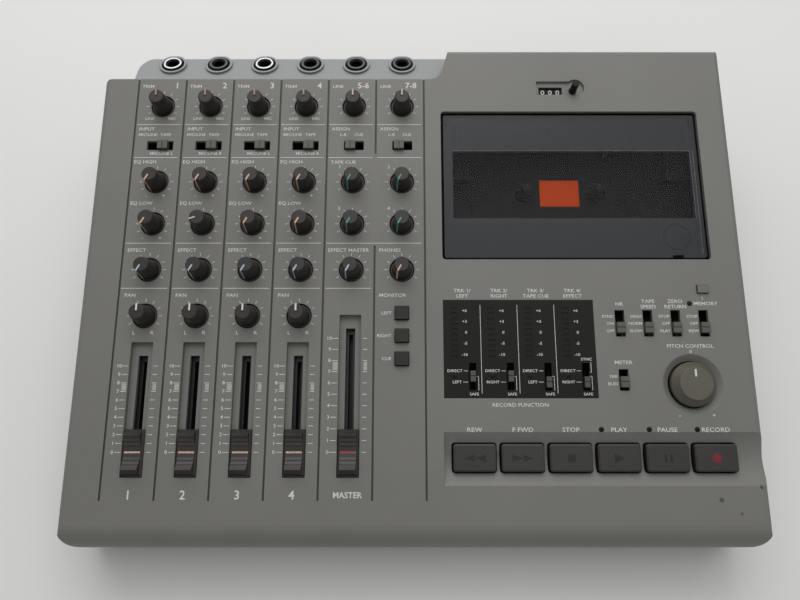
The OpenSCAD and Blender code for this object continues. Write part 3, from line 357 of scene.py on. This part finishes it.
caseLooks = {
    "case": {"dark": "#6F6E69", "light": "#7A7973", "rubbed": "#96958C", "rough": 0.5, "grainMm": 0.9,
             "cloudMm": 60, "edgeMm": 0.5, "wear": 0.35, "bump": 0.35},
    "base": {"dark": "#5A5954", "light": "#63625C", "rubbed": "#83827A", "rough": 0.55, "grainMm": 0.9,
             "cloudMm": 60, "edgeMm": 0.4, "wear": 0.3, "bump": 0.4},
    "knob": {"dark": "#27221F", "light": "#322C28", "rubbed": "#544E47", "rough": 0.45, "gloss": 0.4,
             "grainMm": 0.5, "cloudMm": 9, "edgeMm": 0.35, "wear": 0.45, "bump": 0.2},
    "pitch": {"dark": "#535043", "light": "#5D5A4B", "rubbed": "#858273", "rough": 0.38, "grainMm": 0.5,
              "cloudMm": 14, "edgeMm": 0.4, "wear": 0.6, "bump": 0.15},
    "fader": {"dark": "#2D2B27", "light": "#383530", "rubbed": "#5E5B53", "rough": 0.42, "grainMm": 0.5,
              "cloudMm": 8, "edgeMm": 0.35, "wear": 0.5, "bump": 0.2},
    "cap": {"dark": "#4B4A44", "light": "#55544D", "rubbed": "#76746B", "rough": 0.45, "grainMm": 0.5,
            "cloudMm": 6, "edgeMm": 0.3, "wear": 0.5, "bump": 0.2},
    "recordCap": {"dark": "#3E3D38", "light": "#494842", "rubbed": "#68675E", "rough": 0.45, "grainMm": 0.5,
                  "cloudMm": 6, "edgeMm": 0.3, "wear": 0.5, "bump": 0.2},
    "button": {"dark": "#24231F", "light": "#2B2A26", "rubbed": "#4E4C45", "rough": 0.5, "gloss": 0.3,
               "grainMm": 0.5, "cloudMm": 7, "edgeMm": 0.35, "wear": 0.4, "bump": 0.2},
    "key": {"dark": "#282724", "light": "#302E2A", "rubbed": "#575550", "rough": 0.42, "grainMm": 0.6,
            "cloudMm": 16, "edgeMm": 0.5, "wear": 0.4, "bump": 0.2},
    "tray": {"dark": "#0F0F10", "light": "#161617", "rubbed": "#252527", "rough": 0.6, "grainMm": 0.35,
             "cloudMm": 20, "edgeMm": 0.4, "wear": 0.3, "bump": 0.01, "gloss": 0.15},
    "face": {"dark": "#1D1C19", "light": "#22211D", "rubbed": "#3A3934", "rough": 0.55, "grainMm": 0.4,
             "cloudMm": 18, "edgeMm": 0.2, "wear": 0.2, "bump": 0.06, "gloss": 0.15},
    "black": {"dark": "#0B0B0B", "light": "#101010", "rubbed": "#232323", "rough": 0.5, "grainMm": 0.5,
              "cloudMm": 10, "edgeMm": 0.3, "wear": 0.3, "bump": 0.12, "gloss": 0.25},
    "rubber": {"dark": "#1B1B1A", "light": "#242423", "rubbed": "#3C3B39", "rough": 0.85, "grainMm": 0.7,
               "cloudMm": 8, "edgeMm": 0.5, "wear": 0.4, "bump": 0.5},
    "sticker": {"dark": "#F05000", "light": "#F85A00", "rubbed": "#FA7A30", "rough": 0.8, "grainMm": 0.4,
                "cloudMm": 9, "edgeMm": 0.1, "wear": 0.1, "bump": 0.05, "gloss": 0.1},
    "lamp": {"dark": "#0E0B0A", "light": "#15100F", "rubbed": "#241917", "rough": 0.3, "grainMm": 0.4,
             "cloudMm": 3, "edgeMm": 0.1, "wear": 0.2, "bump": 0.03, "gloss": 0.15},
    "board": {"dark": "#33583A", "light": "#3D6844", "rubbed": "#5E8A63", "rough": 0.4, "grainMm": 1.2,
              "cloudMm": 12, "edgeMm": 0.2, "wear": 0.2, "bump": 0.3},
}


# Under the panel, what stands on the green boards is black: pots, slides and switches
boardParts = {"above": -0.01895, "colour": "#1C1B19"}


def boardsAndParts(tree, place, colour):
    height = addNode(tree, "ShaderNodeSeparateXYZ", {"Vector": onPanel(tree, place)}).outputs["Z"]
    above = calculated(tree, "GREATER_THAN", height, boardParts["above"])
    return mixColours(tree, above, colour, hexColour(boardParts["colour"]))


caseAbs = mouldedPlastic("Moulded grey ABS", caseLooks["case"], shelfAndScuffs)
baseAbs = mouldedPlastic("Moulded grey ABS base", caseLooks["base"])
knobAbs = mouldedPlastic("Moulded dark ABS knobs", caseLooks["knob"])
pitchAbs = mouldedPlastic("Moulded olive ABS", caseLooks["pitch"])
faderAbs = mouldedPlastic("Moulded dark ABS faders", caseLooks["fader"])
capAcetal = mouldedPlastic("Moulded grey acetal caps", caseLooks["cap"])
recordAcetal = mouldedPlastic("Moulded dark acetal caps", caseLooks["recordCap"])
buttonAbs = mouldedPlastic("Moulded dark ABS buttons", caseLooks["button"], memoryPart)
keyAbs = mouldedPlastic("Moulded dark ABS keys", caseLooks["key"])
trayAbs = mouldedPlastic("Moulded black ABS tray", caseLooks["tray"])
facePolycarbonate = mouldedPlastic("Printed dark polycarbonate", caseLooks["face"])
blackAcetal = mouldedPlastic("Moulded black acetal", caseLooks["black"])
footRubber = mouldedPlastic("Moulded rubber", caseLooks["rubber"])
orangeCard = mouldedPlastic("Orange vinyl sticker", caseLooks["sticker"])
lampResin = mouldedPlastic("Cast lamp resin", caseLooks["lamp"])
boardLaminate = mouldedPlastic("Etched green laminate", caseLooks["board"], boardsAndParts)

inkLooks = {
    "white": {"thin": "#C6C5BD", "full": "#E6E5DE", "rough": 0.6, "meshMm": 0.5},
    "grey": {"thin": "#9B9A93", "full": "#B4B3AC", "rough": 0.6, "meshMm": 0.5},
    "dark": {"thin": "#1B1A18", "full": "#161513", "rough": 0.5, "meshMm": 0.5},
    "pink": {"thin": "#8F6F6C", "full": "#B08C88", "rough": 0.5, "meshMm": 0.7},
    "cream": {"thin": "#B59C90", "full": "#CDB8AC", "rough": 0.5, "meshMm": 0.7},
    "peach": {"thin": "#BA9580", "full": "#D8B59E", "rough": 0.5, "meshMm": 0.7},
    "blue": {"thin": "#8FA3AE", "full": "#B4C6CF", "rough": 0.5, "meshMm": 0.7},
    "teal": {"thin": "#3E7E73", "full": "#579C8E", "rough": 0.5, "meshMm": 0.7},
    "red": {"thin": "#8E3B40", "full": "#A84A50", "rough": 0.5, "meshMm": 0.7},
    "recordRed": {"thin": "#62121C", "full": "#7C1824", "rough": 0.45, "meshMm": 0.7},
    # A pale ink for the painted highlight along the door window's edges
    "paintedEdgeHighlight": {"thin": "#44464C", "full": "#5A5C62", "rough": 0.35, "meshMm": 3.0},
}
inks = {key: screenInk("Screened " + key + " ink", look) for key, look in inkLooks.items()}

metalLooks = {
    "nickel": {"dark": "#B9BABB", "light": "#DADADA", "rough": 0.16, "markMm": 0.5},
    "dull": {"dark": "#4A4C4E", "light": "#6A6C6E", "rough": 0.34, "markMm": 0.6},
    "blackened": {"dark": "#1C1D1E", "light": "#28292A", "rough": 0.45, "markMm": 1.2},
}
nickel = platedMetal("Plated bright nickel", metalLooks["nickel"])
dullNickel = platedMetal("Plated dull nickel", metalLooks["dull"])
blackSteel = platedMetal("Blackened steel", metalLooks["blackened"])

acrylicLook = {
    "border": "#27292F", "borderCover": 0.58, "rough": 0.3, "grainMm": 0.6, "dustMm": 12, "bump": 0.15,
    "window": "#08080A", "windowCover": 0.16, "polish": 0.05,
    "windowX": (0.091, 0.0685), "windowV": (0.1966, 0.0205),  # middle and half length, in m
}
smokedDoor = smokedAcrylic("Smoked acrylic", acrylicLook)
print("materials made")

nodeFinish = {
    "upper_case": caseAbs, "lower_case": baseAbs, "rubber_feet": footRubber, "input_jacks": blackAcetal,
    "rear_sockets": blackAcetal, "meter_panel": facePolycarbonate, "control_boards": boardLaminate,
    "deck_chassis": trayAbs, "tape_transport": blackSteel, "cassette_door": smokedDoor,
    "supply_spindle": blackAcetal, "take_up_spindle": blackAcetal, "counter_wheels": blackAcetal,
    "record_function_switch_caps": recordAcetal,
    "counter_reset_button": blackAcetal, "pitch_knob": pitchAbs, "monitor_and_memory_buttons": buttonAbs,
}


def finishOf(name):
    if name in nodeFinish:
        return nodeFinish[name]
    if name.endswith("_key"):
        return keyAbs
    if "fader" in name:
        return faderAbs
    return capAcetal if "cap" in name else knobAbs


for name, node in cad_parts.items():
    if not node.material_slots:
        node.data.materials.append(finishOf(name))
    for used in node.material_slots:
        used.material = finishOf(name)
print("frame pieces finished")

ink = {"thickness": 0.03, "capShare": 0.7, "small": 1.65, "label": 1.95, "digit": 1.8, "strip": 3.6,
       "fader": 4.4, "master": 2.9, "scale": 1.5, "switch": 1.45, "mode": 1.55, "key": 2.3, "sign": 2.2,
       "wide": 1.15, "weight": 0.012, "bold": 0.07}
printed = {"white": [], "grey": []}


def word(text, x, v, height=None, align="CENTER", h=0.0, bold=None, colour="white"):
    deselectAll()
    bpy.ops.object.text_add(location=(x, v, h + ink["thickness"]))
    letters = bpy.context.object
    letters.data.body = text
    letters.data.size = (height or ink["label"]) / ink["capShare"]
    letters.data.align_x = align
    letters.data.align_y = "CENTER"
    letters.data.extrude = ink["thickness"]
    letters.data.offset = bold or ink["weight"]
    letters.scale.x = 1 if bold else ink["wide"]
    letters.data.resolution_u = 2
    bpy.ops.object.convert(target="MESH")
    printed.setdefault(colour, []).append(bpy.context.object)


def bar(x0, x1, v0, v1, h=0.0, colour="white"):
    printed.setdefault(colour, []).append(blockBetween((x0, v0, h), (x1, v1, h + 2 * ink["thickness"])))


# Marks round a knob: copies of one short bar, turned about the knob's middle
def dialMarks(x, v, look):
    mark = blockBetween((-look["width"] / 2, look["inner"], 0),
                        (look["width"] / 2, look["outer"], 2 * ink["thickness"]))
    for i in range(look["count"]):
        turn = look["sweep"] * (i / (look["count"] - 1) - 0.5)
        printed["white"].append(copied(mark, "mark", at(x, v, 0, turn)))
    bpy.data.objects.remove(mark)


dial = {"inner": 7.9, "outer": 9.6, "width": 0.28, "sweep": 240, "count": 9}
lineRows = {"underTrim": 232.97, "underInput": 212.3, "underEq": 160.75, "underEffect": 134.83}
ruleLook = {"from": 1.0, "to": 26.2, "wideTo": 54.2, "half": 0.16}


# The line that closes a row of a strip
def rule(left, row, to=ruleLook["to"]):
    v, half = lineRows[row], ruleLook["half"]
    bar(left + ruleLook["from"], left + to, v - half, v + half)


for i in range(6):
    x = columnX(i)
    left = grooveX(i)
    channel = i < 4
    word("TRIM" if channel else "LINE", x - 9.6, 257.4)
    word(str(i + 1) if channel else ("5-6" if i == 4 else "7-8"), x + 7.4 - (0 if channel else 2.2), 257.9,
         ink["strip"], bold=ink["bold"])
    dialMarks(x, mixer["trim"], dial)
    if channel:
        word("LINE", x - 7.1, 236.7, ink["small"])
        word("MIC", x + 5.9, 236.7, ink["small"])
    rule(left, "underTrim")
    word("INPUT" if channel else "ASSIGN", left + 2.4, 230.1, align="LEFT")
    if channel:
        word("MIC/LINE", left + 2.4, 226.5, ink["small"], "LEFT")
        word("TAPE", x + 2.9, 226.5, ink["small"])
        word("MIC/LINE", left + 15.4, 214.7, ink["small"])
        bar(left + 20.2, left + 20.9, 214.35, 215.05)
        word("L" if i % 2 == 0 else "R", left + 22.6, 214.7, ink["small"])
    else:
        word("L-R", left + 9.2, 226.5, ink["small"])
        word("CUE", x + 2.9, 226.5, ink["small"])
    rule(left, "underInput")
    if channel:
        for row, text in (("eqHigh", "EQ HIGH"), ("eqLow", "EQ LOW")):
            word(text, x - 7.5, mixer[row] + 12.2)
            dialMarks(x, mixer[row], dial)
            word("-", x - 5.2, mixer[row] - 8.4)
            word("+", x + 4.7, mixer[row] - 8.4)
        rule(left, "underEq")
        word("EFFECT", x - 7.6, 156.6)
        dialMarks(x, mixer["effect"], dial)
        rule(left, "underEffect")
        word("PAN", x - 9.0, 130.8)
        dialMarks(x, mixer["pan"], dial)
        word("L", x - 5.2, mixer["pan"] - 9.4)
        word("R", x + 4.7, mixer["pan"] - 9.4)
print("strips printed")

left = grooveX(4)
word("TAPE CUE", left + 2.4, 209.3, align="LEFT")
for i in range(4):
    x = columnX(4 + i % 2)
    v = mixer["eqHigh"] if i < 2 else mixer["eqLow"]
    word(str(i + 1), x - 7.6, v + 9.2)
    dialMarks(x, v, dial)
rule(left, "underEq", ruleLook["wideTo"])
word("EFFECT MASTER", left + 2.0, 156.6, align="LEFT")
dialMarks(columnX(4), mixer["effect"], dial)
rule(left, "underEffect")
word("PHONES", grooveX(5) + 2.4, 156.6, align="LEFT")
dialMarks(columnX(5), mixer["effect"], dial)
word("MONITOR", grooveX(5) + 2.6, 130.8, align="LEFT")
for text, v in (("LEFT", 120.9), ("RIGHT", 108.4), ("CUE", 95.9)):
    word(text, columnX(5) - 5.6, v, ink["small"], "RIGHT")

faderScale = {"number": -11.2, "leftDash": (-9.5, -6.4), "rightDash": (7.0, 9.4), "width": 0.3}
for i in range(5):
    x = columnX(i)
    travel = mixer["channelTravel"] if i < 4 else mixer["masterTravel"]
    for k in range(11):
        v = mixer["faderZero"] + travel * k / 10
        word(str(k), x + faderScale["number"] + (0.4 if k < 10 else 0), v, ink["digit"])
        for near, far in (faderScale["leftDash"], faderScale["rightDash"]):
            bar(x + near, x + far, v - faderScale["width"] / 2, v + faderScale["width"] / 2)
    for near, far in (faderScale["leftDash"], faderScale["rightDash"]):
        low, high = (mixer["faderZero"] + travel * mark / 10 for mark in (7.12, 7.88))
        bar(x + near + 0.5, x + far, low, high, colour="grey")
    text, height, shift = (str(i + 1), ink["fader"], 0.6) if i < 4 else ("MASTER", ink["master"], 0)
    word(text, x - shift, 25.4, height, bold=ink["bold"])
print("fader scales printed")

# Meter panel, mode switches and keys
trackNames = (("TRK 1/", "LEFT"), ("TRK 2/", "RIGHT"), ("TRK 3/", "TAPE CUE"), ("TRK 4/", "EFFECT"))
for i, (upper, lower) in enumerate(trackNames):
    x = deck["x"] + meter["pitch"] * i
    word(upper, x + 10.5, 133.4)
    word(lower, x + 10.5, 130.4)
    for text, v in (("+6", 122.2), ("+3", 116.2), ("0", 110.2), ("-5", 104.2), ("-10", 98.1)):
        word(text, x + 12.9, v, ink["scale"], "RIGHT")
    word("DIRECT", x + 9.9, 89.4, ink["switch"], "RIGHT")
    word("LEFT" if i % 2 == 0 else "RIGHT", x + 9.4, 83.4, ink["switch"], "RIGHT")
    bar(x + 10.6, x + 12.8, 89.3, 89.55)
    bar(x + 10.1, x + 12.8, 83.3, 83.55)
    word("SAFE", x + 16.0, 77.0, ink["switch"])
    bar(x + 18.3, x + 18.55, 79.0, 86.6)
    bar(x + 17.4, x + 18.55, 86.4, 86.6)
    if i < 3:
        bar(x + meter["pitch"] - 0.15, x + meter["pitch"] + 0.15, 77.0, 125.8, h=-0.28)
word("SYNC", 92.3, 95.6, ink["switch"])
bar(94.4, 94.65, 88.6, 94.0)
bar(93.6, 94.65, 88.6, 88.8)
word("RECORD FUNCTION", 56.1, 71.3)

modeLabels = (
    (112.0, ("NR",), 125.9, ("SYNC", "ON", "OFF")),
    (127.8, ("TAPE", "SPEED"), 127.4, ("HIGH", "NORM", "SLOW")),
    (142.6, ("ZERO", "RETURN"), 127.4, ("STOP", "OFF", "PLAY")),
    (159.2, ("MEMORY",), 126.1, ("STOP", "OFF", "REW")),
)
for i, (x, names, v, places) in enumerate(modeLabels):
    for k, text in enumerate(names):
        word(text, x, v - 3.0 * k)
    for text, placeV in zip(places, (119.0, 115.1, 111.0)):
        word(text, 108.6 + 15.2 * i, placeV, ink["mode"], "RIGHT")
bar(157.6, 157.85, 128.2, 130.2)
word("METER", 112.0, 93.8)
word("TRK", 108.6, 86.3, ink["mode"], "RIGHT")
word("BUSS", 108.6, 82.4, ink["mode"], "RIGHT")
word("PITCH CONTROL", 148.6, 102.7)
word("0", 148.6, 99.8, ink["small"])
word("-", 139.7, 65.9, ink["sign"])
word("+", 157.8, 65.9, ink["sign"])
keyNames = ((31.4, "REW"), (56.7, "F FWD"), (81.9, "STOP"), (107.1, "PLAY"), (132.5, "PAUSE"),
            (157.8, "RECORD"))
for x, text in keyNames:
    word(text, x, 58.4, ink["key"])

for colour, pieces in printed.items():
    settle(joined(pieces, "panelPrint" + colour.title()), "recorder", inks[colour])
print("deck printed")

# Small knobs: an inlaid line over the top and down the side
knob = {"topRadius": 4.2, "baseRadius": 5.5, "top": 12.0, "shoulder": 11.4, "base": -1.0, "rib": 0.32,
        "width": 0.95, "lineFrom": 0.6, "lineTo": 3.2, "round": 0.3, "lift": 0.1, "thickness": 0.15}
lowStop = -150.0


def smallPointer():
    proud = knob["rib"]
    middle = (knob["lineFrom"] + knob["lineTo"]) / 2
    deselectAll()
    bpy.ops.mesh.primitive_plane_add(size=1, location=(0, middle, knob["top"] + proud))
    strip = bpy.context.object
    strip.scale = (knob["width"], knob["lineTo"] - knob["lineFrom"], 1)
    applyPlace(strip)
    bpy.ops.object.mode_set(mode="EDIT")
    bpy.ops.mesh.select_mode(type="EDGE")
    bpy.ops.mesh.select_all(action="DESELECT")
    bpy.ops.object.mode_set(mode="OBJECT")
    for edge in strip.data.edges:
        ends = [strip.data.vertices[k].co for k in edge.vertices]
        edge.select = all(end.y > middle for end in ends)
    bpy.ops.object.mode_set(mode="EDIT")
    last = Vector((0, knob["lineTo"], knob["top"] + proud))
    steps = ((knob["topRadius"] - knob["round"] + proud, knob["top"] + proud),
             (knob["topRadius"] + proud, knob["shoulder"] + knob["lift"]),
             (knob["baseRadius"] + proud, knob["base"] + knob["lift"]))
    for r, h in steps:
        bpy.ops.mesh.extrude_edges_move(TRANSFORM_OT_translate={"value": Vector((0, r, h)) - last})
        last = Vector((0, r, h))
    bpy.ops.mesh.select_all(action="SELECT")
    bpy.ops.mesh.normals_make_consistent(inside=False)
    bpy.ops.object.mode_set(mode="OBJECT")
    applyModifier(strip, "SOLIDIFY", thickness=knob["thickness"], offset=-1.0)
    return strip


pointer = smallPointer()


def addPointer(name, x, v, turn, colour):
    settle(copied(pointer, name + "_pointer", at(x, v, 0, turn)), name, inks[colour])


pointerSets = (
    ("trim", "trim", "pink", [0] * 4), ("eq_high", "eqHigh", "peach", [lowStop] * 4),
    ("eq_low", "eqLow", "peach", [lowStop, lowStop + 43, lowStop, lowStop]),
    ("effect", "effect", "blue", [lowStop] * 4), ("pan", "pan", "white", [0] * 4),
)
for kind, row, colour, turns in pointerSets:
    for i, turn in enumerate(turns):
        addPointer(f"{kind}_knob_{i + 1}", columnX(i), mixer[row], turn, colour)
for i in range(4):
    v = mixer["eqHigh"] if i < 2 else mixer["eqLow"]
    addPointer(f"tape_cue_knob_{i + 1}", columnX(4 + i % 2), v, lowStop, "teal")
for i in range(2):
    addPointer(f"line_knob_{i + 1}", columnX(4 + i), mixer["trim"], 0, "cream")
addPointer("effect_master_knob", columnX(4), mixer["effect"], lowStop, "blue")
addPointer("phones_knob", columnX(5), mixer["effect"], lowStop, "peach")
bpy.data.objects.remove(pointer)

pitch = {"x": 148.4, "v": 82.3, "lineFrom": 3.7, "lineTo": 7.6, "top": 4.4, "width": 1.1}
line = blockBetween((pitch["x"] - pitch["width"] / 2, pitch["v"] + pitch["lineFrom"], pitch["top"] - 0.3),
                    (pitch["x"] + pitch["width"] / 2, pitch["v"] + pitch["lineTo"], pitch["top"] + 0.02))
applyModifier(line, "BEVEL", width=0.08, segments=2)
line.name = line.data.name = "pitch_knob_pointer"
settle(line, "pitch_knob", inks["white"])

faderLine = {"width": 8.4, "length": 1.1, "bottom": 0.6, "top": 0.86}
for i in range(5):
    body = f"channel_fader_{i + 1}" if i < 4 else "master_fader"
    x, v = columnX(i), mixer["faderZero"]
    line = blockBetween((x - faderLine["width"] / 2, v - faderLine["length"] / 2, faderLine["bottom"]),
                        (x + faderLine["width"] / 2, v + faderLine["length"] / 2, faderLine["top"]))
    applyModifier(line, "BEVEL", width=0.12, segments=2)
    line.name = line.data.name = body + "_line"
    settle(line, body, inks["peach" if i < 4 else "red"])
print("pointers placed")

lamp = {"profile": [(1.3, -1.4), (1.3, 0), (1.0, 0.1), (0.4, 0.15)], "x0": 97.94, "pitch": 25.14, "v": 58.6,
        "memory": (150.5, 126.2), "recordX": 5.8, "recordV": 86.7}
dome = turned(lamp["profile"], 24)
lampSpots = [(lamp["x0"] + lamp["pitch"] * i, lamp["v"]) for i in range(3)] + [lamp["memory"]]
lampSpots += [(deck["x"] + lamp["recordX"] + meter["pitch"] * i, lamp["recordV"]) for i in range(4)]
lamps = [copied(dome, "dome", at(*spot)) for spot in lampSpots]
bpy.data.objects.remove(dome)
settle(joined(lamps, "panelLamps"), "recorder", lampResin)

lens = {"x": 5.7, "topV": 123.5, "pitch": 2.95, "width": 3.56, "depth": 1.46, "low": -1.1, "top": -0.3}
lenses = []
for i in range(4):
    for k in range(10):
        x = deck["x"] + lens["x"] + meter["pitch"] * i
        v = lens["topV"] - lens["pitch"] * k
        lenses.append(blockBetween((x - lens["width"] / 2, v - lens["depth"] / 2, lens["low"]),
                                   (x + lens["width"] / 2, v + lens["depth"] / 2, lens["top"])))
settle(joined(lenses, "meterLenses"), "recorder", lampResin)

key = {"x0": 31.25, "pitch": 25.14, "v": 44.0, "top": 0.3, "mark": 0.03, "arrow": 5.6, "twinHeight": 3.7,
       "twinShift": 2.9, "playHeight": 4.9, "stop": (3.9, 4.1), "pause": (1.4, 4.1), "pauseShift": 1.4,
       "dot": 2.45}


# A flat triangle that points along x
def triangle(x, length, height, way):
    deselectAll()
    bpy.ops.mesh.primitive_cylinder_add(
        vertices=3, radius=1, depth=key["mark"], rotation=(0, 0, math.radians(-90 * way)),
        location=(x - way * length / 6, key["v"], key["top"] + key["mark"] / 2))
    piece = bpy.context.object
    piece.scale = (height / math.sqrt(3), length / 1.5, 1)
    applyPlace(piece)
    return piece


def slab(x, width, height):
    return blockBetween((x - width / 2, key["v"] - height / 2, key["top"]),
                        (x + width / 2, key["v"] + height / 2, key["top"] + key["mark"]))


keyX = [key["x0"] + key["pitch"] * i for i in range(6)]
symbols = {
    "rewind_key": [triangle(keyX[0] + side * key["twinShift"], key["arrow"], key["twinHeight"], -1)
                   for side in (-1, 1)],
    "fast_forward_key": [triangle(keyX[1] + side * key["twinShift"], key["arrow"], key["twinHeight"], 1)
                         for side in (-1, 1)],
    "stop_key": [slab(keyX[2], *key["stop"])],
    "play_key": [triangle(keyX[3], key["arrow"], key["playHeight"], 1)],
    "pause_key": [slab(keyX[4] + side * key["pauseShift"], *key["pause"]) for side in (-1, 1)],
}
for body, pieces in symbols.items():
    settle(joined(pieces, body + "_symbol"), body, inks["dark"])
dot = turned([(key["dot"], 0), (key["dot"], key["mark"])], 40)
dot.data.transform(at(keyX[5], key["v"], key["top"]))
dot.name = dot.data.name = "record_key_symbol"
settle(dot, "record_key", inks["recordRed"])

counter = {"x": 81.0, "v": 254.7, "pitch": 4.4, "top": -2.38, "height": 2.9}
printed.clear()
for i in (-1, 0, 1):
    word("0", counter["x"] + counter["pitch"] * i, counter["v"], counter["height"], h=counter["top"] - 0.06)
settle(joined(printed["white"], "counterDigits"), "counter_wheels", inks["white"])

# The sticker on the cassette carrier, seen through the window
sticker = {"halfWidth": 11.6, "halfDepth": 8.2, "low": -16.1, "top": -15.35}
card = blockBetween(
    (deck["hubX"] - sticker["halfWidth"], deck["hubV"] - sticker["halfDepth"], sticker["low"]),
    (deck["hubX"] + sticker["halfWidth"], deck["hubV"] + sticker["halfDepth"], sticker["top"]))
applyModifier(card, "BEVEL", width=0.3, segments=3)
card.name = card.data.name = "carrierSticker"
settle(card, "recorder", orangeCard)

# Raised lines along the edges of the door's window, in a pale ink that is a painted highlight of those edges,
# and the ring where a finger pushes it shut
paintedEdgeHighlight = {"low": -1.56, "high": -1.42, "edges": (
    (22.4, 217.1, 159.6, 217.4), (159.6, 176.0, 159.9, 217.4), (161.4, 155.0, 161.7, 217.0))}
edgeHighlightLines = [blockBetween((x0, v0, paintedEdgeHighlight["low"]), (x1, v1, paintedEdgeHighlight["high"])) for x0, v0, x1, v1 in paintedEdgeHighlight["edges"]]
# Painted highlight: the window-edge lines take the pale ink
settle(joined(edgeHighlightLines, "doorEdgeHighlights"), "cassette_door", inks["paintedEdgeHighlight"])
fingerRing = {"profile": [(7.3, 0), (7.5, 0), (7.5, 0.06), (7.3, 0.06), (7.3, 0)],
              "place": (147.8, 164.9, -1.54)}
ring = turned(fingerRing["profile"], 48, closed=True)
ring.data.transform(at(*fingerRing["place"]))
hingeArm = {"x": (23.6, 157.6), "half": 1.6, "front": 220.5, "rear": 236.0, "low": -5.6, "high": -4.05,
            "bevel": 0.7}
arms = [blockBetween((x - hingeArm["half"], hingeArm["front"], hingeArm["low"]),
                     (x + hingeArm["half"], hingeArm["rear"], hingeArm["high"])) for x in hingeArm["x"]]
for arm in arms:
    applyModifier(arm, "BEVEL", width=hingeArm["bevel"], segments=3)
settle(joined(arms + [ring], "doorArms"), "cassette_door", blackAcetal)

# Nuts on the jacks, in the shelf's own lean; those on jacks 1 and 3 are drawn in a brighter metal than the
# rest
jack = {"v": 278.2, "h": -9.284, "lean": 22.0, "nut": [(4.1, 0.55), (4.25, 0.9), (4.8, 1.05), (5.3, 0.9),
                                                     (5.5, 0.55), (4.1, 0.55)]}
nut = turned(jack["nut"], 48, closed=True)
nuts = {"nickel": [], "dull": []}
for i in range(6):
    place = Matrix.Translation((columnX(i), jack["v"], jack["h"])) @ Matrix.Rotation(
        math.radians(-jack["lean"]), 4, "X")
    nuts["nickel" if i in (0, 2) else "dull"].append(copied(nut, "nut", place))
bpy.data.objects.remove(nut)
settle(joined(nuts["nickel"], "jackNutsBright"), "recorder", nickel)
settle(joined(nuts["dull"], "jackNutsDull"), "recorder", dullNickel)
print("small pieces placed")

# The camera stands 352 mm over the panel, near its middle, and leans back by a little under 13 degrees
view = {"place": (-5.7, 48.4, 352.26), "lean": 12.77, "focalPixels": 660.0, "sideShift": -3.7,
        "imageWidth": 800, "sensor": 36.0}
lean = math.radians(view["lean"])
turnOnly = panelToWorld.to_3x3().normalized()
eye = panelToWorld @ Vector(view["place"])
forward = turnOnly @ Vector((0, math.sin(lean), -math.cos(lean)))
up = turnOnly @ Vector((0, math.cos(lean), math.sin(lean)))
right = forward.cross(up)
cameraData = bpy.data.cameras.new("Overhead camera")
cameraData.sensor_width = view["sensor"]
cameraData.lens = view["focalPixels"] / view["imageWidth"] * view["sensor"]
cameraData.shift_x = view["sideShift"] / view["imageWidth"]
cameraData.clip_start = 0.01
camera = bpy.data.objects.new("Overhead camera", cameraData)
camera.matrix_world = Matrix((
    (right.x, up.x, -forward.x, eye.x),
    (right.y, up.y, -forward.y, eye.y),
    (right.z, up.z, -forward.z, eye.z),
    (0, 0, 0, 1),
))
bpy.context.scene.collection.objects.link(camera)
bpy.context.scene.camera = camera

floorLook = {"size": 6.0, "dark": "#E4E5E1", "light": "#EFF0EC", "cloudScale": 4.0, "rough": 0.6}
deselectAll()
bpy.ops.mesh.primitive_plane_add(size=floorLook["size"], location=(0, 0, 0))
floor = bpy.context.object
floor.name = floor.data.name = "tableTop"
material, tree, output, place = startMaterial("Painted table top")
cloud = addNode(tree, "ShaderNodeTexNoise", {"Vector": place, "Scale": floorLook["cloudScale"], "Detail": 2})
colour = mixColours(tree, cloud.outputs["Fac"], hexColour(floorLook["dark"]), hexColour(floorLook["light"]))
shader = addNode(tree, "ShaderNodeBsdfPrincipled", {"Base Color": colour, "Roughness": floorLook["rough"]})
tree.links.new(shader.outputs[0], output.inputs["Surface"])
floor.data.materials.append(material)

studio = {"sky": "#F2F3F4", "strength": 0.4}
world = bpy.data.worlds.new("Studio")
bpy.context.scene.world = world
world.use_nodes = True
world.node_tree.nodes["Background"].inputs["Color"].default_value = hexColour(studio["sky"])
world.node_tree.nodes["Background"].inputs["Strength"].default_value = studio["strength"]

lights = (
    {"name": "Window behind", "place": (-0.25, 1.1, 1.0), "size": 1.4, "power": 9.8},
    {"name": "Ceiling", "place": (0.3, 0.6, 1.5), "size": 1.5, "power": 8.5},
)
for look in lights:
    lightData = bpy.data.lights.new(look["name"], "AREA")
    lightData.shape = "SQUARE"
    lightData.size = look["size"]
    lightData.energy = look["power"]
    areaLight = bpy.data.objects.new(look["name"], lightData)
    areaLight.location = look["place"]
    areaLight.rotation_euler = (Vector(look["place"]) * -1).to_track_quat("-Z", "Y").to_euler()
    bpy.context.scene.collection.objects.link(areaLight)
bpy.context.scene.view_settings.view_transform = "Standard"
print("camera and light set")
